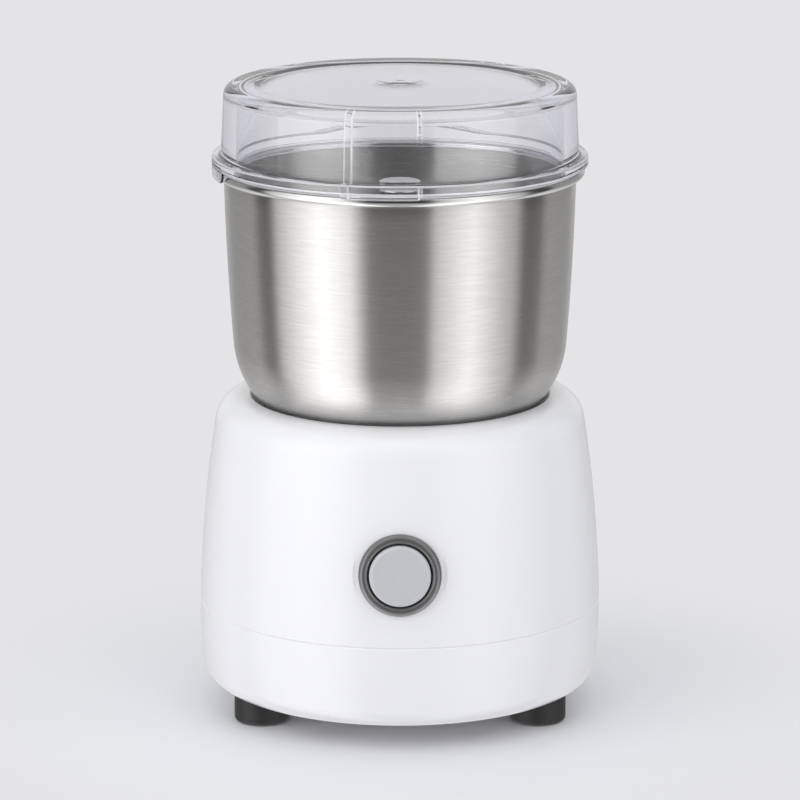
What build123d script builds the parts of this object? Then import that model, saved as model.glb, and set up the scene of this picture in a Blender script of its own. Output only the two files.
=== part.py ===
from build123d import *

import math
import os

# Electric spice grinder. Millimetres, +Z up, origin on the floor under the middle of the base.
# The push button faces -Y, and angles are counted from +X towards +Y.

# Clearances
seat_gap = 0.3              # between parts of different bodies that rest on each other
running_gap = 0.05          # shaft in bearing, all round
sliding_gap = 0.35          # button in bezel, coupling in socket, key in notch
tongue_gap = 0.15           # between the cover's tongue and the casing

# Base casing
base_radius = 54.9          # widest, at the seam
cover_height = 22.8         # underside to seam
cover_wall = 2.4
cover_corner = 5.5
cover_draft = 0.8
cover_bulge = 0.25
shell_height = 57.2         # seam to top
shell_wall = 2.6
shell_taper = 4.5           # how much narrower the casing is where its shoulder starts
shell_bulge = 0.87
shoulder_drop = 6.7
lip_rounding = 0.6
seam_chamfer = 0.3
seam_tongue_height = 2.4
seam_tongue_wall = 1.2
vent_count = 10
vent_width = 2.4
vent_length = 12.0
vent_inner_radius = 16.0

# Feet
foot_left_angle = 210
foot_right_angle = 330
foot_rear_angle = 90
foot_height = 6.8
foot_radius = 7.65
foot_inset = 11.6           # foot's centre, in from the casing's widest radius
foot_recess = 1.0
foot_rounding = 1.2
foot_boss_radius = 4.0
foot_boss_height = 5.0

# Bowl
bowl_height = 73.75         # underside to the top of the bead
bowl_sink = 10.5            # how far the bowl's underside lies below the casing's top
bowl_flat_radius = 18.4
bowl_corner_radius = 27.0
bowl_corner_turn = 85.5     # degrees, the rest is the side's own lean
bowl_mouth_radius = 47.6
bowl_wall = 0.8
bead_radius = 1.55

# Seat well in the casing
well_gap = 0.9
well_wall = 2.2
seat_ring_proud = 0.6
seat_ring_depth = 0.8
seat_ring_start_angle = 52.0    # below the horizontal, about the bowl's corner
seat_ring_end_angle = 62.0
pocket_radius = 12.0
key_angles = (30, 150, 270)
key_width = 4.2
key_length = 2.8
key_height = 3.3

# Hub under and through the bowl's floor
hub_flange_thickness = 3.2
hub_flange_radius = 17.7
hub_barrel_radius = 7.5
hub_barrel_rise = 6.9       # above the bowl's floor
hub_gasket_thickness = 0.8
hub_gasket_inner_radius = 8.4
hub_nut_across = 25.0
hub_nut_height = 4.0
bush_radius = 5.0
bush_height = 9.0
seal_height = 2.2

# Spindle and blades
spindle_radius = 3.0
washer_radius = 6.5
washer_thickness = 0.8
washer_lift = 0.4
post_radius = 4.5
lower_spacer_height = 2.2
middle_spacer_height = 25.0
blade_thickness = 1.6
blade_hub_radius = 8.0
blade_root_width = 13.0
blade_tip_width = 7.0
lower_blade_reach = 26.0
upper_blade_reach = 34.0
blade_up_bend = 14.0        # degrees
blade_down_bend = 7.0
post_head_radius = 5.65
post_head_height = 1.4
post_head_rounding = 0.5
post_head_drop = 4.65       # from the bead's top down to the post's top
post_screw_radius = 1.6
post_screw_length = 12.0

# Drive coupling between the bowl and the motor
socket_radius = 8.8
socket_height = 7.7
socket_depth = 5.0
socket_lift = 0.6
cross_length = 12.4
cross_width = 4.4
cross_height = 4.2
drive_collar_radius = 4.6
pocket_clearance = 1.5

# Lid
flange_overhang = 0.9       # past the bead
flange_thickness = 2.6
flange_rounding = 0.6
lid_height = 21.0           # flange's underside to the crown
lid_wall_offset = 0.7       # wall's foot, out from the bowl's mouth
lid_draft = 0.9             # how much narrower the wall is at its top
lid_wall = 3.9
lid_top_thickness = 2.4
lid_crown_rounding = 3.4
lid_inner_rounding = 1.6
lid_foot_rounding = 0.7
lid_collar_depth = 2.4
lid_collar_gap = 0.4
panel_inset = 8.0           # in from the top of the lid's wall
panel_step = 0.6
panel_step_run = 0.9
panel_dome = 1.7
gate_radius = 6.3
gate_height = 0.25
gate_nub_radius = 0.9
lug_wall = 1.0
lug_depth = 2.9
lug_spans = ((186, 15), (6, 15))        # start angle and sweep
tab_depth = 1.1
tab_proud = 0.5
tab_span = (252, 24.5)
rib_span = (252.5, 2.4)
rib_proud = 0.5
nib_span = (275.5, 1.2)
nib_height = 2.4

# Motor
motor_room = 30.7           # from the motor can out to the casing's widest radius
can_wall = 1.2
can_end_thickness = 1.5
can_floor_clearance = 4.8   # end bell's plate above the cover's floor
bearing_boss_radius = 8.0
bearing_boss_height = 2.6
motor_headroom = 1.7        # bearing boss below the pocket's underside
shaft_radius = 2.5
bearing_radius = 5.5
bearing_height = 3.4
shaft_end_gap = 0.6
magnet_thickness = 2.4
magnet_gap_width = 16.0
air_gap = 0.6
armature_slots = 10
slot_width = 2.6
slot_depth = 8.0
winding_inset = 2.2         # in from the core's outside
winding_height = 3.4
winding_inner_radius = 6.0
commutator_radius = 7.5
commutator_height = 6.4
commutator_bars = 10
fan_inset = 2.0             # in from the core's outside
fan_height = 4.0
fan_blades = 9
fan_hub_radius = 4.6
end_bell_thickness = 2.5
end_bell_boss_radius = 7.6
end_bell_boss_drop = 3.4
brush_width = 5.0
brush_height = 4.0
brush_spring_room = 5.0     # left behind the brush in its box
brush_box_wall = 0.8
brush_box_end_gap = 2.3     # from the can's bore
brush_box_gap = 1.2         # from the commutator

# Motor mounting
bracket_thickness = 1.5
bracket_disc_radius = 22.0
bracket_arm_width = 11.0
mount_reach = 9.8           # from the motor can out to the mounting posts
mount_angles = (30, 150, 210, 330)
mount_post_radius = 4.0
mount_post_bite = 0.775     # how far the post runs on past where it meets the well
grommet_radius = 5.2
grommet_groove_radius = 3.6
grommet_flange = 1.3
mount_screw_radius = 1.8
mount_screw_bite = 9.0
motor_screw_circle = 14.0
motor_screw_radius = 1.6

# Screws
cover_screw_angles = (60, 120, 240, 300)
cover_screw_inset = 12.9    # in from the casing's widest radius
cover_boss_radius = 3.9
cover_screw_radius = 1.7
cover_screw_bite = 14.0
cover_screw_sink = 13.0     # head above the underside
screw_head_height = 2.2
screw_head_ratio = 1.8      # head radius over shank radius
foot_screw_radius = 1.5
foot_screw_sink = 2.0

# Push button
button_rise = 20.0          # button's middle above the seam
bezel_radius = 11.0
bezel_proud = 1.7
bezel_sink = 1.3
bezel_bore_radius = 8.55
bezel_outer_rounding = 1.3
bezel_inner_rounding = 0.9
bezel_barrel_radius = 9.6
bezel_barrel_depth = 5.0    # past the mounting pad
bezel_back_thickness = 1.2
bezel_nut_radius = 12.2
bezel_nut_height = 2.4
pad_radius = 12.6
button_travel = 2.0
cap_proud = 2.4
cap_thickness = 4.2
cap_rounding = 1.0
stem_radius = 2.4
stem_reach = 2.7            # stem past the bezel's back
clip_radius = 4.2
clip_thickness = 0.8
spring_radius = 5.4
spring_wire_radius = 0.35
spring_turns = 4
plunger_radius = 2.0
plunger_length = 4.4
plunger_proud = 2.3
switch_width = 25.2
switch_height = 13.0
switch_depth = 8.4
switch_bracket_thickness = 1.0
switch_bracket_height = 22.0
switch_arm_height = 10.0
terminal_width = 4.8
terminal_thickness = 0.8
terminal_length = 3.6

# Electrics
inlet_rise = 12.2           # cord inlet above the underside
cord_radius = 3.6
inlet_hole_radius = 5.0
inlet_flange_radius = 6.8
inlet_flange_proud = 1.2
inlet_flange_sink = 0.8
inlet_neck_slack = 0.6
inlet_bead_depth = 1.4
inlet_bead_proud = 1.0
inlet_bead_rounding = 0.4
board_offset = 8.0          # board's face from the motor can
board_width = 28.0
board_height = 28.0
board_thickness = 1.6
board_lift = 2.6
board_clip_width = 3.0
board_clip_wall = 2.4
board_clip_height = 6.0
rectifier_size = (4.0, 12.0, 10.0)
capacitor_size = (7.0, 13.0, 11.0)

# Feet by place
foot_angles = {"left": foot_left_angle, "right": foot_right_angle, "rear": foot_rear_angle}

# Heights
underside = foot_height
cover_floor = underside + cover_wall
seam = underside + cover_height
base_top = seam + shell_height
bowl_bottom = base_top - bowl_sink
bowl_floor = bowl_bottom + bowl_wall
bowl_corner_height = bowl_bottom + bowl_corner_radius
bead_top = bowl_bottom + bowl_height
bead_height = bead_top - bead_radius
hub_bottom = bowl_bottom - hub_gasket_thickness - hub_flange_thickness
hub_top = bowl_floor + hub_barrel_rise
well_floor = hub_bottom - well_gap
socket_top = hub_bottom - socket_lift
socket_bottom = socket_top - socket_height
pocket_floor = socket_bottom - pocket_clearance
pocket_underside = pocket_floor - well_wall
motor_top = pocket_underside - motor_headroom
can_top = motor_top - bearing_boss_height
can_bottom = cover_floor + can_floor_clearance
bell_top = can_bottom + end_bell_thickness
bell_bottom = can_bottom - end_bell_boss_drop
commutator_bottom = bell_top + shaft_end_gap
winding_bottom = commutator_bottom + commutator_height
core_bottom = winding_bottom + winding_height
grommet_top = can_top + bracket_thickness + grommet_flange
fan_top = can_top - can_end_thickness - 2 * shaft_end_gap
fan_bottom = fan_top - fan_height
core_top = fan_bottom - shaft_end_gap - winding_height
flange_underside = bead_top + seat_gap
flange_top = flange_underside + flange_thickness
lid_crown = flange_underside + lid_height
post_top = bead_top - post_head_drop
post_head_underside = post_top - post_head_height
spindle_bottom = socket_bottom + socket_depth
shaft_top = socket_bottom + cross_height / 2
button_height = seam + button_rise
board_bottom = cover_floor + board_lift
board_middle = board_bottom + board_height / 2
inlet_height = underside + inlet_rise

# Radii
cover_flat_radius = base_radius - cover_draft - cover_corner
cover_inner_radius = base_radius - cover_wall
shell_inner_radius = base_radius - shell_wall
foot_circle_radius = base_radius - foot_inset
cover_screw_circle = base_radius - cover_screw_inset
bead_circle_radius = bowl_mouth_radius - bowl_wall + bead_radius
bead_outer_radius = bead_circle_radius + bead_radius
flange_radius = bead_outer_radius + flange_overhang
lid_wall_foot_radius = bowl_mouth_radius + lid_wall_offset
lid_wall_top_radius = lid_wall_foot_radius - lid_draft
panel_radius = lid_wall_top_radius - panel_inset
can_radius = base_radius - motor_room
can_bore = can_radius - can_wall
board_face = can_radius + board_offset
core_radius = can_bore - magnet_thickness - air_gap
slot_floor_radius = core_radius - slot_depth
winding_radius = core_radius - winding_inset
fan_radius = core_radius - fan_inset
brush_box_start = commutator_radius + brush_box_gap
brush_box_length = can_bore - brush_box_end_gap - brush_box_start
brush_length = brush_box_length - brush_spring_room
mount_circle_radius = can_radius + mount_reach
washer_underside = hub_top + washer_lift

# The casing's side is a shallow arc that leans in towards the shoulder
side_height = shell_height - shoulder_drop
shoulder_lean = math.atan((shell_taper + 4 * shell_bulge) / side_height)
shoulder_radius = shoulder_drop / (1 - math.sin(shoulder_lean))
shoulder_start_radius = base_radius - shell_taper
shoulder_middle_radius = shoulder_start_radius - shoulder_radius * math.cos(shoulder_lean)
shoulder_middle_height = base_top - shoulder_radius


def shell_radius(height):
    """Outside radius of the casing at a height between the seam and the shoulder."""
    share = (height - seam) / side_height
    return base_radius - shell_taper * share + 4 * shell_bulge * share * (1 - share)


# The button's axis is square to the side, so it tips up a little
button_share = button_rise / side_height
button_slope = (shell_taper - 4 * shell_bulge * (1 - 2 * button_share)) / side_height
button_tilt = math.atan(button_slope)
button_plane = Plane(
    origin=(0, -shell_radius(button_height), button_height),
    x_dir=(1, 0, 0),
    z_dir=(0, -math.cos(button_tilt), math.sin(button_tilt)),
)

# The cord goes in at the back of the cover
inlet_wall_radius = base_radius - cover_draft / 2 + cover_bulge
inlet_plane = Plane(
    origin=(0, inlet_wall_radius, inlet_height),
    x_dir=(1, 0, 0),
    z_dir=(0, 1, 0),
)

# Depths behind the casing's surface, along the button's axis
bracket_half_width = switch_width / 2 + switch_bracket_thickness
wall_inside_radius = shell_radius(button_height) - shell_wall
pad_sag = wall_inside_radius - math.sqrt(wall_inside_radius**2 - bracket_half_width**2)
pad_back = -(shell_wall + pad_sag + 0.3)
bracket_back = pad_back - switch_bracket_thickness
nut_back = bracket_back - bezel_nut_height
barrel_back = pad_back - bezel_barrel_depth
cap_back = cap_proud - cap_thickness
stem_end = barrel_back - stem_reach
switch_front = stem_end - plunger_proud
switch_back = switch_front - switch_depth


def disc(radius, low, high):
    """Upright cylinder between two heights."""
    return Pos(0, 0, low) * extrude(Circle(radius), high - low)


def tube(outer, inner, low, high):
    """Upright tube between two heights."""
    return Pos(0, 0, low) * extrude(Circle(outer) - Circle(inner), high - low)


def block(size, centre):
    """Box with its middle at a point."""
    return Pos(*centre) * Box(*size)


def around(part, angles, radius=0):
    """Copies of a part moved out to a radius and turned to each angle about Z."""
    return [Rot(0, 0, angle) * Pos(radius, 0, 0) * part for angle in angles]


def turned(edges, sweep=360):
    """Solid of revolution from closed edges drawn in radius and height."""
    face = make_face([Plane.XZ * edge for edge in edges])
    return revolve(face, Axis.Z, sweep)


def outline(*corners):
    """Closed edges through corners (radius, height) or (radius, height, rounding)."""
    stops = []
    for index, corner in enumerate(corners):
        here = Vector(corner[0], corner[1])
        before = Vector(*corners[index - 1][:2]) - here
        after = Vector(*corners[(index + 1) % len(corners)][:2]) - here
        rounding = corner[2] if len(corner) == 3 else 0
        half = math.radians(before.get_angle(after)) / 2
        inward = (before.normalized() + after.normalized()).normalized()
        setback = rounding / math.tan(half)
        middle = here + inward * (rounding / math.sin(half) - rounding)
        start = here + before.normalized() * setback
        finish = here + after.normalized() * setback
        stops.append((start, middle, finish, rounding))
    edges = []
    for index, (start, middle, finish, rounding) in enumerate(stops):
        if rounding > 0:
            edges.append(ThreePointArc(start, middle, finish))
        edges.append(Line(finish, stops[(index + 1) % len(stops)][0]))
    return edges


def polar(middle_radius, middle_height, radius, degrees):
    """Point on a circle in the radius-height plane, from the horizontal."""
    turn = math.radians(degrees)
    return (middle_radius + radius * math.cos(turn), middle_height + radius * math.sin(turn))


def sector(outer, inner, low, high, span):
    """Part of an upright tube, from a start angle over a sweep."""
    start, sweep = span
    corners = outline((inner, low), (outer, low), (outer, high), (inner, high))
    return Rot(0, 0, start) * turned(corners, sweep)


def on_button_axis(part):
    """Part drawn about Z, set on the casing with its Z along the button's axis."""
    return button_plane.location * part


def screw(shank_radius, head_bottom, head_height, tip):
    """Pan head screw that points up, with a cross recess in its head."""
    head_radius = shank_radius * screw_head_ratio
    head = turned(outline(
        (0, head_bottom), (head_radius, head_bottom, head_height * 0.4),
        (head_radius, head_bottom + head_height), (0, head_bottom + head_height),
    ))
    shank = disc(shank_radius, head_bottom + head_height, tip)
    recess_depth = head_height * 0.5
    recess = block((head_radius, shank_radius * 0.4, recess_depth), (0, 0, head_bottom + recess_depth / 2))
    recess += block((shank_radius * 0.4, head_radius, recess_depth), (0, 0, head_bottom + recess_depth / 2))
    return head + shank - recess


# Casing

def shell_outline(inset):
    """Casing's outside, or its inside when inset by the wall, down to the seam."""
    lean = math.degrees(shoulder_lean)
    rounding = shoulder_radius - inset
    side_foot = (base_radius - inset, seam)
    side_middle_height = seam + side_height / 2
    side_middle = (shell_radius(side_middle_height) - inset, side_middle_height)
    side_top = polar(shoulder_middle_radius, shoulder_middle_height, rounding, lean)
    shoulder_middle = polar(
        shoulder_middle_radius, shoulder_middle_height, rounding, (90 + lean) / 2
    )
    shoulder_top = (shoulder_middle_radius, base_top - inset)
    return [
        Line((0, seam), side_foot),
        ThreePointArc(side_foot, side_middle, side_top),
        ThreePointArc(side_top, shoulder_middle, shoulder_top),
        Line(shoulder_top, (0, base_top - inset)),
        Line((0, base_top - inset), (0, seam)),
    ]


def well_space(growth):
    """Space that the bowl and its hub sink into, or its outer skin when grown by the wall."""
    radius = bowl_corner_radius + well_gap + growth
    low = (bowl_flat_radius, bowl_corner_height - radius)
    side = (bowl_flat_radius + radius, bowl_corner_height)
    middle = polar(bowl_flat_radius, bowl_corner_height, radius, -45)
    dish = turned([
        Line((0, low[1]), low),
        ThreePointArc(low, middle, side),
        Line(side, (0, bowl_corner_height)),
        Line((0, bowl_corner_height), (0, low[1])),
    ])
    core = disc(hub_flange_radius + well_gap + growth, well_floor - growth, bowl_bottom)
    pocket = disc(pocket_radius + growth, pocket_floor - growth, well_floor)
    return dish + core + pocket


def seat_band():
    """Ring of rubber let into the well, just under the bowl's corner."""
    inner = bowl_corner_radius + seat_gap
    outer = bowl_corner_radius + well_gap + seat_ring_depth
    centre = (bowl_flat_radius, bowl_corner_height)
    middle = (seat_ring_start_angle + seat_ring_end_angle) / 2
    inner_from, inner_middle, inner_to = (
        polar(*centre, inner, -turn) for turn in (seat_ring_start_angle, middle, seat_ring_end_angle)
    )
    outer_from, outer_middle, outer_to = (
        polar(*centre, outer, -turn) for turn in (seat_ring_start_angle, middle, seat_ring_end_angle)
    )
    return turned([
        ThreePointArc(inner_from, inner_middle, inner_to),
        Line(inner_to, outer_to),
        ThreePointArc(outer_to, outer_middle, outer_from),
        Line(outer_from, inner_from),
    ])


def well_skin_height(radius):
    """Height of the well's outer skin at a radius."""
    skin_radius = bowl_corner_radius + well_gap + well_wall
    return bowl_corner_height - math.sqrt(skin_radius**2 - (radius - bowl_flat_radius) ** 2)


def base_shell():
    shell = turned(shell_outline(0)) - turned(shell_outline(shell_wall))
    boss_top = base_top - shell_wall / 2
    boss = disc(cover_boss_radius, seam + seam_tongue_height, boss_top)
    bosses = Part() + around(boss, cover_screw_angles, cover_screw_circle)
    shell += bosses - well_space(well_wall + seat_gap)
    shell += on_button_axis(disc(pad_radius, pad_back, -shell_wall / 2))
    shell -= well_space(0)
    pilot = disc(cover_screw_radius, seam, seam + seam_tongue_height + cover_screw_bite)
    shell -= around(pilot, cover_screw_angles, cover_screw_circle)
    shell -= on_button_axis(disc(bezel_radius, -bezel_sink, bezel_radius))
    shell -= on_button_axis(disc(bezel_barrel_radius, pad_back, bezel_radius))
    top_edges = shell.edges().group_by(Axis.Z)[-1]
    shell = fillet(top_edges.sort_by(SortBy.LENGTH)[0], lip_rounding)
    foot = shell.edges().filter_by(GeomType.CIRCLE).filter_by_position(Axis.Z, seam, seam)
    return chamfer(foot.sort_by(SortBy.RADIUS)[-1], seam_chamfer)


def seat_well():
    """Dish that the bowl sinks into, welded under the casing's top, with the motor's posts."""
    well = turned(shell_outline(shell_wall)) & well_space(well_wall)
    mount_post_top = well_skin_height(mount_circle_radius - mount_post_radius) + mount_post_bite
    mount_post = disc(mount_post_radius, grommet_top, mount_post_top)
    well += around(mount_post, mount_angles, mount_circle_radius)
    well -= well_space(0)
    key_radius = hub_flange_radius - key_length
    key = block((key_length, key_width, key_height), (key_length / 2, 0, well_floor + key_height / 2))
    well += around(key, key_angles, key_radius)
    well -= seat_band()
    well -= disc(drive_collar_radius + well_gap, pocket_underside, pocket_floor)
    mount_pilot = disc(mount_screw_radius, can_top, grommet_top + mount_screw_bite)
    return well - around(mount_pilot, mount_angles, mount_circle_radius)


def cover_outline(inset):
    """Bottom cover's outside, or its inside when inset by the wall, up to the seam."""
    floor = underside + inset
    corner_height = underside + cover_corner
    corner_end = (cover_flat_radius + cover_corner - inset, corner_height)
    corner_middle = polar(cover_flat_radius, corner_height, cover_corner - inset, -45)
    side_middle = (
        base_radius - cover_draft / 2 + cover_bulge - inset,
        (corner_height + seam) / 2,
    )
    side_top = (base_radius - inset, seam)
    return [
        Line((0, floor), (cover_flat_radius, floor)),
        ThreePointArc((cover_flat_radius, floor), corner_middle, corner_end),
        ThreePointArc(corner_end, side_middle, side_top),
        Line(side_top, (0, seam)),
        Line((0, seam), (0, floor)),
    ]


def bottom_cover():
    cover = turned(cover_outline(0)) - turned(cover_outline(cover_wall))
    tongue_radius = shell_inner_radius - tongue_gap
    tongue_foot = seam - seam_tongue_height
    tongue_bore = tongue_radius - seam_tongue_wall
    cover += tube(tongue_radius, tongue_bore, tongue_foot, seam + seam_tongue_height)
    cover += tube(cover_inner_radius + seam_tongue_wall / 2, tongue_bore, tongue_foot, seam)
    boss = disc(cover_boss_radius, underside + cover_wall / 2, seam + seam_tongue_height)
    cover += around(boss, cover_screw_angles, cover_screw_circle)
    foot_boss = disc(foot_boss_radius, underside + cover_wall / 2, cover_floor + foot_boss_height)
    cover += around(foot_boss, foot_angles.values(), foot_circle_radius)
    clip_outer = (board_thickness + 2 * board_clip_wall, board_clip_width, board_clip_height)
    for side in (-1, 1):
        clip_y = side * (board_width / 2 - board_clip_width)
        clip_x = board_face + board_thickness / 2
        cover += block(clip_outer, (clip_x, clip_y, cover_floor + board_clip_height / 2))
        slot_height = board_clip_height - board_lift
        cover -= block((board_thickness, board_clip_width, slot_height),
                       (clip_x, clip_y, cover_floor + board_lift + slot_height / 2))
    sink_radius = cover_screw_radius * screw_head_ratio + sliding_gap
    sink = disc(sink_radius, underside, underside + cover_screw_sink)
    cover -= around(sink, cover_screw_angles, cover_screw_circle)
    clear_hole = disc(cover_screw_radius + running_gap, underside, seam + seam_tongue_height)
    cover -= around(clear_hole, cover_screw_angles, cover_screw_circle)
    recess = disc(foot_radius, underside - foot_recess, underside + foot_recess)
    cover -= around(recess, foot_angles.values(), foot_circle_radius)
    pilot = disc(foot_screw_radius, underside, cover_floor + foot_boss_height)
    cover -= around(pilot, foot_angles.values(), foot_circle_radius)
    vent = Pos(0, 0, underside) * extrude(SlotOverall(vent_length, vent_width), cover_wall)
    vent_turns = [360 / vent_count * index for index in range(vent_count)]
    cover -= around(vent, vent_turns, vent_inner_radius + vent_length / 2)
    cover -= inlet_plane.location * disc(inlet_hole_radius, -2 * cover_wall, cover_wall)
    cover -= inlet_plane.location * disc(inlet_flange_radius, -inlet_flange_sink, cover_wall)
    rim = cover.edges().filter_by(GeomType.CIRCLE).filter_by_position(Axis.Z, seam, seam)
    return chamfer(rim.sort_by(SortBy.RADIUS)[-1], seam_chamfer)


def foot():
    top = underside + foot_recess
    body = disc(foot_radius, 0, top)
    floor_edge = body.edges().filter_by(GeomType.CIRCLE).sort_by(Axis.Z)[0]
    body = fillet(floor_edge, foot_rounding)
    head_radius = foot_screw_radius * screw_head_ratio + sliding_gap
    body -= disc(head_radius, 0, foot_screw_sink + screw_head_height)
    return body - disc(foot_screw_radius, 0, top)


# Bowl and hub

def bowl_side(inset):
    """Flat, corner arc and leaning side of the bowl, and the points that they join."""
    radius = bowl_corner_radius - inset
    low = (bowl_flat_radius, bowl_bottom + inset)
    corner_middle = polar(bowl_flat_radius, bowl_corner_height, radius, bowl_corner_turn / 2 - 90)
    corner_end = polar(bowl_flat_radius, bowl_corner_height, radius, bowl_corner_turn - 90)
    lean = math.radians(bowl_corner_turn)
    top = (bowl_mouth_radius - inset, bead_height)
    edges = [
        Line((hub_barrel_radius + running_gap, low[1]), low),
        ThreePointArc(low, corner_middle, corner_end),
        TangentArc(corner_end, top, tangent=(math.cos(lean), math.sin(lean))),
    ]
    return edges, top


def bowl():
    outside, outside_top = bowl_side(0)
    inside, inside_top = bowl_side(bowl_wall)
    hole = hub_barrel_radius + running_gap
    closing = [
        Line(outside_top, inside_top),
        Line((hole, bowl_bottom), (hole, bowl_floor)),
    ]
    cup = turned(outside + inside + closing)
    bead = revolve(Plane.XZ * Pos(bead_circle_radius, bead_height) * Circle(bead_radius), Axis.Z)
    return cup + bead


def bowl_hub():
    flange = disc(hub_flange_radius, hub_bottom, hub_bottom + hub_flange_thickness)
    barrel = disc(hub_barrel_radius, hub_bottom, hub_top)
    notch_length = key_length + 2 * sliding_gap
    notch = block((notch_length, key_width + 2 * sliding_gap, hub_flange_thickness),
                  (notch_length / 2, 0, hub_bottom + hub_flange_thickness / 2))
    notch_radius = hub_flange_radius - key_length - sliding_gap
    hub = flange + barrel
    hub -= around(notch, key_angles, notch_radius)
    return hub - disc(bush_radius, hub_bottom, hub_top)


def hub_nut():
    top = bowl_floor + hub_nut_height
    hexagon = RegularPolygon(hub_nut_across / 2, 6, major_radius=False)
    body = Pos(0, 0, bowl_floor) * extrude(hexagon, hub_nut_height)
    rounding = disc(hub_nut_across / 2 + 1, bowl_floor, top)
    crown = fillet(rounding.edges().filter_by(GeomType.CIRCLE).sort_by(Axis.Z)[-1], hub_nut_height / 2)
    return (body & crown) - disc(hub_barrel_radius, bowl_floor, top)


def shaft_seal():
    low = hub_top - seal_height
    return turned(outline(
        (spindle_radius + running_gap, low), (bush_radius, low),
        (bush_radius, hub_top), (spindle_radius + running_gap + seal_height / 2, hub_top),
        (spindle_radius + running_gap, hub_top - seal_height / 2),
    ))


# Spindle

lower_spacer_bottom = washer_underside + washer_thickness
lower_blade_bottom = lower_spacer_bottom + lower_spacer_height
middle_spacer_bottom = lower_blade_bottom + blade_thickness
upper_blade_bottom = middle_spacer_bottom + middle_spacer_height
upper_spacer_bottom = upper_blade_bottom + blade_thickness
spindle_top = post_head_underside - washer_thickness


def blade_spindle():
    spindle = disc(spindle_radius, spindle_bottom, spindle_top)
    tip = spindle.edges().filter_by(GeomType.CIRCLE).sort_by(Axis.Z)[-1]
    spindle = chamfer(tip, spindle_radius / 8)
    return spindle - disc(post_screw_radius, post_head_underside - post_screw_length, spindle_top)


def blade(low, reach):
    """Blade with two swept arms, one bent up and one bent down from a flat middle."""
    middle = disc(blade_hub_radius, low, low + blade_thickness)
    root = blade_hub_radius * 0.6
    arm_face = make_face([
        Line((0, -blade_root_width / 2), (root, -blade_root_width / 2)),
        Line((root, -blade_root_width / 2), (root + reach, blade_root_width / 2 - blade_tip_width)),
        Line((root + reach, blade_root_width / 2 - blade_tip_width), (root + reach, blade_root_width / 2)),
        Line((root + reach, blade_root_width / 2), (0, blade_root_width / 2)),
        Line((0, blade_root_width / 2), (0, -blade_root_width / 2)),
    ])
    arm = extrude(arm_face, blade_thickness)
    edge_cut = Pos(0, blade_root_width / 2, blade_thickness) * Rot(35, 0, 0) * Box(
        3 * reach, blade_thickness * 2, blade_thickness,
        align=(Align.CENTER, Align.CENTER, Align.MIN),
    )
    arm -= edge_cut
    parts = middle
    for turn, bend in ((0, blade_up_bend), (180, -blade_down_bend)):
        parts += Rot(0, 0, turn) * Pos(root / 2, 0, low) * Rot(0, -bend, 0) * arm
    flat = disc(blade_hub_radius, low - 2 * blade_thickness, low)
    flat += disc(blade_hub_radius, low + blade_thickness, low + 3 * blade_thickness)
    return parts - flat - disc(spindle_radius, low - reach, low + reach)


def post_screw():
    head = turned(outline(
        (0, post_head_underside), (post_head_radius, post_head_underside, post_head_rounding),
        (post_head_radius, post_top, post_head_rounding), (0, post_top),
    ))
    return head + disc(post_screw_radius, post_head_underside - post_screw_length, post_head_underside)


def cross(length, width, low, high):
    """Cross of two equal bars with rounded ends."""
    bars = SlotOverall(length, width) + Rot(0, 0, 90) * SlotOverall(length, width)
    return Pos(0, 0, low) * extrude(bars, high - low)


def bowl_coupling():
    body = disc(socket_radius, socket_bottom, socket_top)
    rims = body.edges().filter_by(GeomType.CIRCLE)
    body = chamfer(rims, seat_gap)
    grown = 2 * sliding_gap
    body -= cross(cross_length + grown, cross_width + grown, socket_bottom, spindle_bottom)
    return body - disc(spindle_radius, socket_bottom, socket_top)


def drive_coupling():
    bars_bottom = pocket_floor + seat_gap
    bars_top = socket_bottom + cross_height
    coupling = cross(cross_length, cross_width, bars_bottom, bars_top)
    coupling += disc(drive_collar_radius, motor_top + shaft_end_gap, bars_bottom + seat_gap)
    return coupling - disc(shaft_radius, motor_top, shaft_top)


# Lid

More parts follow.
